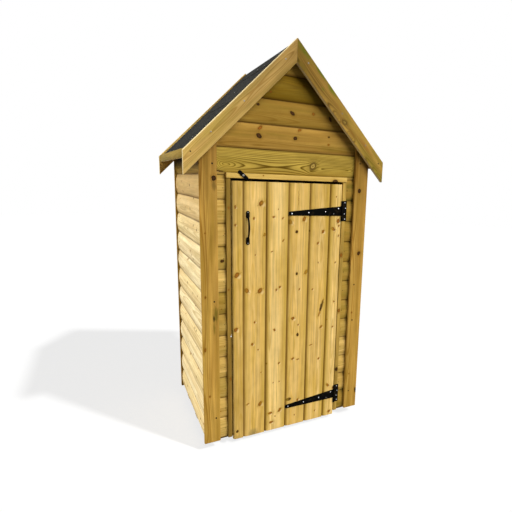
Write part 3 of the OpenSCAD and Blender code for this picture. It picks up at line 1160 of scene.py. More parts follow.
@dataclass(frozen=True)
class Loglap:
    """The profile of a loglap board: a crowned face over a tongued and grooved body."""

    thickness: float = 19 * MM
    nose_dip: float = 8.5 * MM
    head_dip: float = 9.5 * MM
    bend: float = 2.2
    gap: float = 0.8 * MM
    ease: float = 1.2 * MM
    slack: float = 0.4 * MM
    tongue: float = 6 * MM
    steps: int = 16

    def outline(self, height: float) -> list[Point]:
        """The board's section as (out, up), from its inner lower corner.

        Args:
            height: The board's cover height.

        Returns:
            The section's corners.
        """
        low, high = self.gap, height - self.gap
        inner, outer, root = self.thickness * 0.2, self.thickness * 0.4, low + self.tongue
        points = [(self.ease, low), (inner, low), (inner, root), (outer, root), (outer, low)]
        for step in range(self.steps + 1):
            share = step / self.steps
            bend = abs(2 * share - 1) ** self.bend
            dip = self.nose_dip if share < 0.5 else self.head_dip
            points.append((self.thickness - dip * bend, low + (high - low) * share))
        inner, outer, crest = inner + self.slack, outer - self.slack, high + self.tongue - self.ease
        points += [(outer, high), (outer, crest), (inner, crest), (inner, high), (self.ease, high),
                   (0, high - self.ease), (0, low + self.ease)]
        return points


@dataclass
class Courses:
    """Boards laid one on another to clad one wall."""

    name: str
    start: Vector
    along: Vector
    out: Vector
    length: float
    height: float
    pitch: float
    finish: Timber
    seed: int
    profile: Loglap = field(default_factory=Loglap)
    special: dict[int, Timber] = field(default_factory=dict)
    shape: Callable[[BMesh, int], BMesh] | None = None
    wave: float = 0.7 * MM
    rings: int = 5
    least_share: float = 0.02

    def build(self) -> Piece:
        """Makes the boards, each with its own grain.

        Returns:
            The piece, still open.
        """
        piece = Piece(self.name)
        for course in range(math.ceil(self.height / self.pitch - self.least_share)):
            cover = min(self.pitch, self.height - course * self.pitch)
            number = self.seed * SEEDS_A_WALL + course
            foot = self.start + Z_AXIS * course * self.pitch
            board = prism(self.profile.outline(self.pitch), self.length, self.rings)
            place(board, Lie(foot, self.along, self.out, Z_AXIS))
            weather(board, self.wave, number)
            if cover < self.pitch:
                saw(board, foot + Z_AXIS * cover, Z_AXIS)
            if self.shape:
                self.shape(board, course)
            centre = foot + self.out * self.profile.thickness + Z_AXIS * self.pitch / 2
            joints = (-self.pitch / 2, self.pitch / 2)
            seeded_grain(self.along, self.out, centre, number, joints).mark(board)
            piece.take(board, self.special.get(course, self.finish))
        return piece


@dataclass
class Cladding:
    """All loglap: two flanks beside the door, the gable, the sides and the back."""

    course: float = 112 * MM
    gable_course: float = 115.5 * MM
    wane: Point = (52 * MM, 13 * MM)
    straw: Colour = paint(241, 219, 163)
    cream: Colour = paint(252, 235, 186)
    biscuit: Colour = paint(226, 198, 142)
    tan: Colour = paint(201, 169, 112)
    cream_courses: tuple[int, ...] = (1, 3, 5, 7, 8)
    dull_flanks: tuple[tuple[int, ...], ...] = ((2, 5, 8), (4,))
    mossy_flanks: tuple[tuple[int, ...], ...] = ((6,), (5, 6, 7))
    green_flanks: tuple[tuple[int, ...], ...] = ((), (0, 8, 9, 10, 11))
    light_flanks: tuple[tuple[int, ...], ...] = ((0, 7), (3,))
    left_knots: tuple[Point, ...] = (
        (-108, 1331), (102, 1295), (-157, 1269), (-103, 1213), (263, 1142), (-165, 1134), (-250, 1121),
        (-137, 958), (36, 795), (-117, 773), (-125, 583), (-164, 580), (-166, 379), (-159, 317), (137, 120),
        (-115, 177), (-235, 110))
    shaded_course: int = 12
    nailed_courses: int = 12
    nail_inset: float = 12 * MM
    nail_sway: Point = (3, 4)
    roof: Roofline = field(default_factory=Roofline)

    def build(self) -> None:
        """Makes and seats every wall."""
        self.flanks()
        self.gable()
        self.sides()
        self.back()
        self.nails()

    def flanks(self) -> None:
        """The short boards between each corner trim and its jamb."""
        dull = replace(FLANK_PINE, name="flank_loglap_dull", early=paint(184, 154, 80))
        mossy = replace(FLANK_PINE, name="flank_loglap_mossy", early=paint(170, 139, 62),
                        stain=paint(110, 98, 26))
        green = replace(FLANK_PINE, name="flank_loglap_green", early=paint(158, 126, 52),
                        stain=paint(96, 88, 22))
        light = replace(FLANK_PINE, name="flank_loglap_light", early=paint(228, 192, 112))
        knots = (Knot(-348, -12, 7, 20, 1.3, KnotKind.DEAD),)
        knotted = replace(dull, name="flank_loglap_knotted", knots=knots)
        for number, side in enumerate(("left", "right")):
            rows = ((self.dull_flanks, dull), (self.mossy_flanks, mossy), (self.green_flanks, green),
                    (self.light_flanks, light))
            chosen = {course: finish for courses, finish in rows for course in courses[number]}
            if side == "left":
                chosen[8] = knotted
            low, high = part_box(f"wall_front_{side}")
            start = Vector((low.x, high.y, low.z))
            wall = Courses(f"cladding_front_{side}", start, X_AXIS, -Y_AXIS, high.x - low.x,
                           high.z - low.z, self.course, FLANK_PINE, 11 + number, special=chosen)
            wall.build().done("shed", "loglap_pine", f"wall_front_{side}")

    def gable(self) -> None:
        """The boards over the doorway, cut to the roof, the lowest with a waney corner."""
        low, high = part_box("gable_front")
        header = Timber("header_board", paint(186, 157, 68), paint(94, 70, 12), paint(158, 130, 44),
                        contrast=1.0, stained=0.3, spread=0.0, ring=6.6 * MM, swing=66 * MM,
                        low_joint=(14 * MM, 0.4), high_joint=(8 * MM, 0.9),
                        knots=(Knot(122, -8, 16, 50, 1.35, KnotKind.EYE),),
                        crests=((-0.371, 1.0), (-0.30, 0.52), (-0.22, 0.32), (-0.05, 0.25), (0.10, 0.42),
                                (0.26, 0.62), (0.371, 0.3)))
        second = replace(SHADE_PINE, name="gable_board_second", early=paint(184, 144, 67), knots=(
            Knot(-167, 3, 10, -30, 1.4, KnotKind.DEAD), Knot(-160, 40, 6, 40, 2.2),
            Knot(20, 5, 8, 0, 1.3, KnotKind.DEAD), Knot(45, 46, 5, 35, 2.0),
            Knot(210, 26, 4, 0, 1.2, KnotKind.DEAD), Knot(209, -11, 4)))
        # The third and fourth boards grow darker towards the apex: painted shade under the bargeboards.
        third = replace(SHADE_PINE, name="gable_board_third", early=paint(157, 124, 51), knots=(
            Knot(2, 5, 8, -35, 1.6, KnotKind.DEAD), Knot(212, -2, 5, -60, 2.6, KnotKind.DEAD),
            Knot(-171, 27, 6, 0, 1.3, KnotKind.DEAD), Knot(116, 13, 6)))
        fourth = replace(SHADE_PINE, name="gable_board_fourth", early=paint(124, 94, 14),
                         late=paint(96, 70, 8), knots=(Knot(-110, -26, 4), Knot(60, 20, 3)))

        def shape(board: BMesh, course: int) -> BMesh:
            """Cuts a board to the roof, and the lowest at its waney corner.

            Args:
                board: The board.
                course: Its number from below.

            Returns:
                What is left.
            """
            if course == 0:
                lean = Vector((-self.wane[1], 0, -self.wane[0])).normalized()
                saw(board, Vector((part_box("corner_trim_front_left")[1].x, 0, low.z + self.wane[1])), lean)
            return self.roof.trim(board)

        start = Vector((low.x, high.y, low.z))
        wall = Courses("gable_boards", start, X_AXIS, -Y_AXIS, high.x - low.x, self.roof.ridge - low.z,
                       self.gable_course, SHADE_PINE, 13,
                       special={0: header, 1: second, 2: third, 3: fourth}, shape=shape)
        wall.build().done("shed", "loglap_pine", "gable_front")

    def sides(self) -> None:
        """The two long walls, their top courses darkened with painted shade under the eaves."""
        # The course under the eaves is darker brown with a near-black band at its top: painted shade.
        shade = Smear(0, 26, (5000, 54), paint(30, 17, 3), 1.0)
        eaves = replace(PALE_PINE, name="eaves_loglap", early=paint(190, 152, 66), late=paint(126, 92, 24),
                        stain=paint(120, 98, 26), smears=(shade,))
        # The course under the soffit is near-black: painted shade.
        painted_shade = replace(eaves, name="shadowed_loglap", early=paint(52, 38, 16), late=paint(36, 26, 10),
                        stain=paint(30, 24, 10))
        first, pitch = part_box("wall_left")[0].z / MM, self.course / MM
        chosen = {}
        for course in range(self.shaded_course):
            tone = self.cream if course in self.cream_courses else self.straw
            # Courses 10 and 11 take darker tones: painted shade below the eaves.
            tone = {10: self.biscuit, 11: self.tan}.get(course, tone)
            middle_z = first + (course + 0.5) * pitch
            knots = tuple(Knot(y, z - middle_z, 4.2, 40, 1.5, KnotKind.DEAD) for y, z in self.left_knots
                          if abs(z - middle_z) <= pitch / 2)
            chosen[course] = replace(PALE_PINE, name=f"pale_loglap_{course + 1}", early=tone, spread=0.04,
                                     knots=knots)
        for number, (side, sign) in enumerate((("left", -1), ("right", 1))):
            low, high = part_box(f"wall_{side}")
            inner = high.x if sign < 0 else low.x
            wall = Courses(f"cladding_{side}", Vector((inner, low.y, low.z)), Y_AXIS, sign * X_AXIS,
                           high.y - low.y, high.z - low.z, self.course, PALE_PINE, 14 + number,
                           special={**(chosen if sign < 0 else {}), self.shaded_course: eaves,
                                    self.shaded_course + 1: painted_shade},
                           shape=lambda board, course: self.roof.trim(board))
            wall.build().done("shed", "loglap_pine", f"wall_{side}")

    def back(self) -> None:
        """The back wall, cut to the roof."""
        low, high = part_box("wall_back")
        wall = Courses("cladding_back", Vector((high.x, low.y, low.z)), -X_AXIS, Y_AXIS, high.x - low.x,
                       self.roof.ridge - low.z, self.course, PALE_PINE, 16,
                       shape=lambda board, course: self.roof.trim(board))
        wall.build().done("shed", "loglap_pine", "wall_back")

    def nails(self) -> None:
        """Two nails a course at every post, and one in each short board beside the door."""
        piece = Piece("cladding_nails")
        draw = random.Random(7)
        flank, side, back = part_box("wall_front_left"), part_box("wall_left"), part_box("wall_back")
        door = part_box("jamb_left")[0].x - self.nail_inset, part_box("jamb_right")[1].x + self.nail_inset
        level, rise = self.nail_sway

        def drive_near(x: float, y: float, z: float, out: Vector) -> None:
            """Drives one nail a little above or below its mark."""
            spot = Vector((x, y, z + draw.uniform(-rise, rise) * MM))
            piece.take(Nail().build(spot, out), DULL_STEEL)

        for course in range(self.nailed_courses):
            z = side[0].z + (course + 0.5) * self.course
            for x in door:
                drive_near(x, flank[0].y, z, -Y_AXIS)
            for sign in (-1, 1):
                for post in ("front", "back"):
                    y = middle(f"post_{post}_left").y + draw.uniform(-level, level) * MM
                    drive_near(sign * abs(side[0].x), y, z, sign * X_AXIS)
                drive_near(sign * middle("post_back_right").x, back[1].y, z, Y_AXIS)
        piece.done("shed", "zinc_screw")


# ---------------------------------------------------------------- trims, frame and doorway


@dataclass
class Joinery:
    """Straight timbers that keep the part's own shape, with eased arrises and their own grain."""

    arris: float = 1.6 * MM

    def timber(self, node: str, finish: Timber, along: Vector, face: Vector, body: str = "shed",
               slot: str = "sawn_pine", seed: int = 0) -> None:
        """Makes one timber.

        Args:
            node: The part's node that it stands for.
            finish: Its finish.
            along: The way that its grain runs.
            face: The way that its face looks.
            body: The body that it rides on.
            slot: The record's material slot.
            seed: The timber's own number.
        """
        low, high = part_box(node)
        centre = (low + high) / 2
        centre += face * (Vector(map(abs, face)).dot(high - low) / 2)
        shape = solid(node, self.arris)
        seeded_grain(along, face, centre, seed).mark(shape)
        piece = Piece(f"{node}_timber")
        piece.take(shape, finish)
        piece.done(body, slot, node)


@dataclass
class CornerTrims(Joinery):
    """Four flat corner trims."""

    moss: Colour = paint(92, 84, 20)
    mould: Colour = paint(34, 32, 10)
    left_screws: tuple[float, ...] = (1434, 789, 175)
    right_screws: tuple[float, ...] = (1474, 806, 595, 150)
    screw_insets: Point = (21 * MM, 26 * MM)

    def build(self) -> None:
        """Makes them, the front pair with their own knots."""
        left = replace(TRIM_PINE, name="trim_pine_left", knots=(
            Knot(1370, 25, 10, 0, 1.15, KnotKind.DEAD), Knot(815, -22, 4), Knot(550, -29, 4, 0, 2.0),
            Knot(300, -10, 4), Knot(1120, -18, 3)), smears=(
            Smear(724, 25, (62, 20), self.moss, 0.75), Smear(702, 17, (22, 9), self.mould, 0.9),
            Smear(655, 17, (46, 9), self.moss, 0.6), Smear(1335, 26, (34, 18), self.mould, 0.5)))
        right = replace(TRIM_PINE, name="trim_pine_right", early=paint(200, 159, 76),
                        late=paint(146, 103, 28), knots=(
            Knot(1330, -10, 9, 0, 1.2, KnotKind.DEAD), Knot(985, 7, 9, 0, 1.25, KnotKind.DEAD),
            Knot(640, -20, 4), Knot(146, 34, 6, 0, 2.5, KnotKind.DEAD), Knot(260, -16, 3)))
        rows = (("front_left", left, -Y_AXIS), ("front_right", right, -Y_AXIS),
                ("back_left", BACK_TRIM_PINE, Y_AXIS), ("back_right", BACK_TRIM_PINE, Y_AXIS))
        for number, (name, finish, face) in enumerate(rows):
            self.timber(f"corner_trim_{name}", finish, Z_AXIS, face, slot="trim_pine", seed=31 + number)
        self.screws()

    def screws(self) -> None:
        """Dull screws down each trim, over the post behind it."""
        piece = Piece("trim_screws")
        screw = Screw(4.2 * MM)
        for side, levels in (("left", self.left_screws), ("right", self.right_screws)):
            for end, face in (("front", -Y_AXIS), ("back", Y_AXIS)):
                low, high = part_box(f"corner_trim_{end}_{side}")
                y = low.y if face.y < 0 else high.y
                x = high.x - self.screw_insets[0] if side == "left" else low.x + self.screw_insets[1]
                for number, level in enumerate(levels):
                    spot = Vector((x, y, level * MM))
                    piece.take(screw.build(spot, face, number * 0.7), DULL_STEEL)
        piece.done("shed", "zinc_screw")


@dataclass
class Carcass(Joinery):
    """Posts, plates, rails and bearers behind the cladding."""

    floor_boards: int = 8
    floor_ease: float = 1.2 * MM
    floor_gap: float = 0.5 * MM

    def build(self) -> None:
        """Makes every framing timber and the floor."""
        for number, corner in enumerate(("front_left", "front_right", "back_left", "back_right")):
            face = Y_AXIS if "front" in corner else -Y_AXIS
            self.timber(f"post_{corner}", SAWN_PINE, Z_AXIS, face, seed=41 + number)
        for number, side in enumerate(("left", "right")):
            face = X_AXIS if side == "left" else -X_AXIS
            self.timber(f"wall_plate_{side}", SAWN_PINE, Y_AXIS, face, seed=46 + number)
        self.timber("head_rail", SAWN_PINE, X_AXIS, Y_AXIS, seed=48)
        self.timber("ridge_beam", SAWN_PINE, Y_AXIS, X_AXIS, seed=49)
        for number, name in enumerate(("front", "middle", "back")):
            self.timber(f"bearer_{name}", GROUND_PINE, X_AXIS, -Y_AXIS, seed=51 + number)
        self.floor()

    def floor(self) -> None:
        """Floor boards from front to back, notched round the feet of the jambs."""
        low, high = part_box("floor_deck")
        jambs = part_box("jamb_left"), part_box("jamb_right")
        cover = (high.x - low.x) / self.floor_boards
        piece = Piece("floor_boards")
        ease, gap = self.floor_ease, self.floor_gap
        top = high.z - low.z
        for number in range(self.floor_boards):
            start = low + X_AXIS * number * cover
            outline = [(gap, 0), (cover - gap, 0), (cover - gap, top - ease), (cover - gap - ease, top),
                       (gap + ease, top), (gap, top - ease)]
            cut = 0.0
            for box in jambs:
                if start.x < box[1].x and start.x + cover > box[0].x:
                    cut = box[1].y + gap - low.y
            board = prism(outline, high.y - low.y - cut, 2)
            place(board, Lie(start + Y_AXIS * cut, Y_AXIS, X_AXIS, Z_AXIS))
            centre = start + X_AXIS * cover / 2 + Z_AXIS * top
            seeded_grain(Y_AXIS, Z_AXIS, centre, 60 + number).mark(board)
            piece.take(board, SAWN_PINE)
        piece.done("shed", "sawn_pine", "floor_deck")


@dataclass
class Doorway(Joinery):
    """Jambs and the head batten round the door."""

    screw: Screw = Screw(3 * MM)
    screw_height: float = 600 * MM
    screw_inset: float = 4 * MM

    def build(self) -> None:
        """Makes them with their knots."""
        # A dark line down the left jamb's edge by the door: painted shade in the gap.
        painted_shade = Smear(700, 12, (5000, 5), paint(38, 22, 8), 0.85)
        left = replace(JAMB_PINE, name="jamb_pine_left", smears=(painted_shade,), knots=(
            Knot(371, 3, 5, 0, 1.4), Knot(1236, 0, 4), Knot(840, -4, 3)))
        right = replace(JAMB_PINE, name="jamb_pine_right", early=paint(202, 165, 80), knots=(
            Knot(303, -1, 9, 0, 1.2, KnotKind.DEAD), Knot(660, -2, 8), Knot(980, -3, 7, 0, 1.5)))
        batten = replace(BATTEN_PINE, name="batten_pine_knotted", knots=(
            Knot(248, -10, 9, 0, 1.7, KnotKind.DEAD), Knot(-150, 5, 2.5)))
        self.timber("jamb_left", left, Z_AXIS, -Y_AXIS, slot="trim_pine", seed=71)
        self.timber("jamb_right", right, Z_AXIS, -Y_AXIS, slot="trim_pine", seed=72)
        self.timber("head_batten", batten, X_AXIS, -Y_AXIS, slot="trim_pine", seed=73)
        low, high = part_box("jamb_left")
        piece = Piece("jamb_screw")
        spot = Vector((high.x - self.screw_inset, low.y, self.screw_height))
        piece.take(self.screw.build(spot, -Y_AXIS), BRIGHT_ZINC)
        piece.done("shed", "zinc_screw")


# ---------------------------------------------------------------- roof


@dataclass
class Roof(Joinery):
    """Roof boards, felt, bargeboards and eaves fascias."""

    felt_sheet: float = 1.3 * MM
    felt_lift: float = 0.25 * MM
    felt_gaps: Point = (0.3 * MM, 0.4 * MM)
    lap: float = 80 * MM
    lap_share: float = 0.52
    cap_reach: float = 99 * MM
    ridge_spare: float = 3 * MM
    board_cover: float = 94 * MM
    board_ease: float = 2.2 * MM
    board_gap: float = 0.3 * MM
    clout: Nail = Nail(4.2 * MM)
    clouts_a_row: int = 11
    clout_seat: float = 0.5 * MM
    clout_insets: tuple[float, float, float] = (8 * MM, 18 * MM, 16 * MM)
    barge_screw: Screw = Screw(3.3 * MM)
    barge_screws: tuple[Point, ...] = ((0.11, 0.4), (0.485, 0.45), (0.77, 0.38), (0.94, 0.36))
    roof: Roofline = field(default_factory=Roofline)

    def build(self) -> None:
        """Makes the whole roof."""
        for side, sign in (("left", -1), ("right", 1)):
            self.boards(side, sign)
            self.felt(side, sign)
        self.ridge_cap()
        self.clouts()
        self.barges()
        for number, (side, face) in enumerate((("left", -X_AXIS), ("right", X_AXIS))):
            self.timber(f"eaves_fascia_{side}", FASCIA_PINE, Y_AXIS, face, slot="trim_pine",
                        seed=88 + number)

    def down(self, sign: int) -> Vector:
        """The way down one slope."""
        pitch = self.roof.pitch()
        return Vector((sign * math.cos(pitch), 0, -math.sin(pitch)))

    def off(self, sign: int) -> Vector:
        """The way square out of one slope."""
        pitch = self.roof.pitch()
        return Vector((sign * math.sin(pitch), 0, math.cos(pitch)))

    def slope_length(self, side: str) -> float:
        """Length of one slope from the ridge to its eaves, along the boards' underside."""
        low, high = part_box(f"roof_deck_{side}")
        return (high.x - low.x) / math.cos(self.roof.pitch())

    def underside(self) -> float:
        """Height of the boards' underside at the ridge."""
        low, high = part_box("roof_deck_left")
        return low.z + (high.x - low.x) * self.roof.slope

    def thickness(self, side: str) -> float:
        """Thickness of one slope's boards."""
        return (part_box(f"roof_deck_{side}")[1].z - self.underside()) * math.cos(self.roof.pitch())

    def crest(self, y: float) -> Vector:
        """A point under the ridge, where the two slopes' undersides meet."""
        return Vector((0, y, self.underside()))

    def cut_ridge(self, bm: BMesh, sign: int) -> None:
        """Cuts what passes over the ridge."""
        saw(bm, ORIGIN, -sign * X_AXIS)

    def cut_eaves(self, bm: BMesh, sign: int, node: str) -> None:
        """Cuts what passes a node's outer edge, plumb at the eaves."""
        low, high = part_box(node)
        saw(bm, Vector((sign * max(abs(low.x), abs(high.x)), 0, 0)), sign * X_AXIS)

    def boards(self, side: str, sign: int) -> None:
        """Matched boards along the roof, with a V at each joint underneath.

        Args:
            side: Which slope.
            sign: -1 on the left, 1 on the right.
        """
        node = f"roof_deck_{side}"
        low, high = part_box(node)
        thick = self.thickness(side)
        reach = self.slope_length(side) + thick * self.roof.slope
        count = math.ceil(reach / self.board_cover)
        ease, gap, span = self.board_ease, self.board_gap, self.board_cover
        outline = [(gap, ease), (gap + ease, 0), (span - gap - ease, 0), (span - gap, ease),
                   (span - gap, thick), (gap, thick)]
        piece = Piece(f"roof_boards_{side}")
        for number in range(-1, count):
            board = prism(outline, high.y - low.y, 2)
            start = self.crest(low.y) + self.down(sign) * number * span
            place(board, Lie(start, Y_AXIS, self.down(sign), self.off(sign)))
            self.cut_ridge(board, sign)
            self.cut_eaves(board, sign, node)
            if not board.verts:
                board.free()
                continue
            centre = start + self.down(sign) * span / 2
            seeded_grain(Y_AXIS, -self.off(sign), centre, 90 + number + 20 * (sign > 0)).mark(board)
            # The outermost board, seen from below at the eaves, is near-black: painted shade.
            piece.take(board, SHADOWED_PINE if number == count - 1 else SAWN_PINE)
        piece.done("shed", "sawn_pine", node)

    def sheet(self, start: Vector, sign: int, length: float, width: float, ripple: float,
              seed: int) -> BMesh:
        """One strip of felt down a slope, with a hand-cut edge.

        Args:
            start: Its upper corner at the front.
            sign: -1 on the left slope, 1 on the right.
            length: How far it runs along the roof.
            width: How far it runs down the slope.
            ripple: How far its lower edge strays.
            seed: The strip's own number.

        Returns:
            The strip.
        """
        bm = bmesh.new()
        bmesh.ops.create_grid(bm, x_segments=24, y_segments=6, size=0.5)
        down, off = self.down(sign), self.off(sign)
        for vert in bm.verts:
            along, fall = vert.co.x + 0.5, vert.co.y + 0.5
            stray = noise.noise(Vector((along * 5, seed * 7.7, fall * 2))) * ripple * fall
            lift = noise.noise(Vector((along * 4, fall * 3, seed * 3.3))) * self.felt_lift
            vert.co = start + Y_AXIS * along * length + down * (fall * width + stray) + off * lift
        outward(bm)
        if bm.faces[:][0].normal.dot(off) < 0:
            bmesh.ops.reverse_faces(bm, faces=bm.faces)
        draw_out(bm, bm.faces[:], off * self.felt_sheet)
        return outward(bm)

    def felt(self, side: str, sign: int) -> None:
        """Two strips on a slope, the upper lapped over the lower.

        Args:
            side: Which slope.
            sign: -1 on the left, 1 on the right.
        """
        node = f"roof_felt_{side}"
        low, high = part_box(node)
        thick = self.thickness(side)
        over = thick * self.roof.slope + self.ridge_spare
        ridge = self.crest(low.y) + self.off(sign) * (thick + self.felt_gaps[0]) - self.down(sign) * over
        shift = self.off(sign) * self.felt_sheet
        length = high.y - low.y
        piece = Piece(f"felt_{side}")
        reach = self.slope_length(side) + over
        half = self.slope_length(side) * self.lap_share + over
        start = ridge + self.down(sign) * (half - self.lap)
        lower = self.sheet(start, sign, length, reach - half + self.lap, 0.0, 3)
        upper = self.sheet(ridge + shift, sign, length, half, 3 * MM, 4 + sign)
        for strip in (lower, upper):
            self.cut_eaves(strip, sign, node)
            self.cut_ridge(strip, sign)
            piece.take(strip, Felt())
        piece.done("shed", "mineral_felt", node)

    def ridge_cap(self) -> None:
        """A strip folded over the ridge."""
        low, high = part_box("roof_felt_left")
        piece = Piece("felt_ridge_cap")
        rise = self.thickness("left") + self.felt_gaps[1] + 2 * self.felt_sheet
        over = rise * self.roof.slope + self.ridge_spare
        for sign in (-1, 1):
            start = self.crest(low.y) + self.off(sign) * rise - self.down(sign) * over
            strip = self.sheet(start, sign, high.y - low.y, self.cap_reach + over, 2 * MM, 8 + sign)
            self.cut_ridge(strip, sign)
            piece.take(strip, Felt())
        piece.done("shed", "mineral_felt")

    def clouts(self) -> None:
        """Broad-headed nails along the laps, the cap and the eaves."""
        low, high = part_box("roof_felt_left")
        reach = self.slope_length("left")
        edges = self.cap_reach, reach * self.lap_share, reach
        rows = [(edge - inset, sheets) for edge, inset, sheets in zip(edges, self.clout_insets, (3, 2, 1))]
        piece = Piece("felt_clouts")
        for sign in (-1, 1):
            for fall, sheets in rows:
                rise = self.thickness("left") + self.clout_seat + sheets * self.felt_sheet
                for number in range(self.clouts_a_row):
                    y = low.y + (high.y - low.y) * (number + 0.5) / self.clouts_a_row
                    spot = self.crest(y) + self.down(sign) * fall + self.off(sign) * rise
                    piece.take(self.clout.build(spot, self.off(sign)), DULL_STEEL)
        piece.done("shed", "zinc_screw")

    def barges(self) -> None:
        """Four bargeboards with their grain along the slope, and their screws."""
        screws = Piece("barge_screws")
        algae, rust = paint(112, 118, 26), paint(136, 88, 32)
        greened = (Smear(-1375, 26, (90, 18), algae, 0.9), Smear(-1250, 32, (70, 12), algae, 0.9),
                   Smear(-1160, 28, (60, 14), algae, 0.9), Smear(-1193, -8, (14, 9), algae, 0.8),
                   Smear(-830, 6, (95, 15), rust, 0.55), Smear(-930, -14, (60, 10), rust, 0.5),
                   Smear(-1080, 4, (70, 9), rust, 0.4))
        # A thin cream line along the front left bargeboard's top edge: a painted highlight.
        crest = (Smear(-1050, -37, (1200, 5), paint(242, 224, 172), 0.9),)
        green = replace(BARGE_PINE, name="barge_pine_green", early=paint(190, 152, 69),
                        late=paint(106, 74, 24), stain=paint(120, 110, 28), stained=0.7, contrast=0.95,
                        ring=6 * MM, swing=70 * MM, darkening_ramp=((-1.44, 0.5), (-1.1, 0.3), (-0.88, 0.04)),
                        crests=((-1.44, 0.5), (-1.2, 0.36), (-1.08, 0.5), (-0.98, 0.95), (-0.88, 0.4),
                                (-0.66, 0.62)),
                        knots=(Knot(-1000, -14, 9, 20, 1.5, KnotKind.EYE),), smears=greened)
        fronts = {-1: replace(BARGE_PINE, name="barge_pine_top_highlight", smears=crest), 1: green}
        for number, (end, side) in enumerate((e, s) for e in ("front", "back") for s in ("left", "right")):
            node = f"bargeboard_{end}_{side}"
            sign = -1 if side == "left" else 1
            face = -Y_AXIS if end == "front" else Y_AXIS
            finish = fronts[sign] if end == "front" else BARGE_PINE
            self.timber(node, finish, self.down(sign), face, slot="trim_pine", seed=81 + number)
            low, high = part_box(node)
            y = low.y if end == "front" else high.y
            cut = (high.z - low.z) - (high.x - low.x) * self.roof.slope
            for share, drop in self.barge_screws:
                x = share * (high.x - low.x) * sign
                z = high.z - abs(x) * self.roof.slope - cut * drop
                metal = DULL_STEEL if share > 0.9 else DUSTY_STEEL
                screws.take(self.barge_screw.build(Vector((x, y, z)), face, share * 9), metal)
        screws.done("shed", "zinc_screw")


# ---------------------------------------------------------------- door


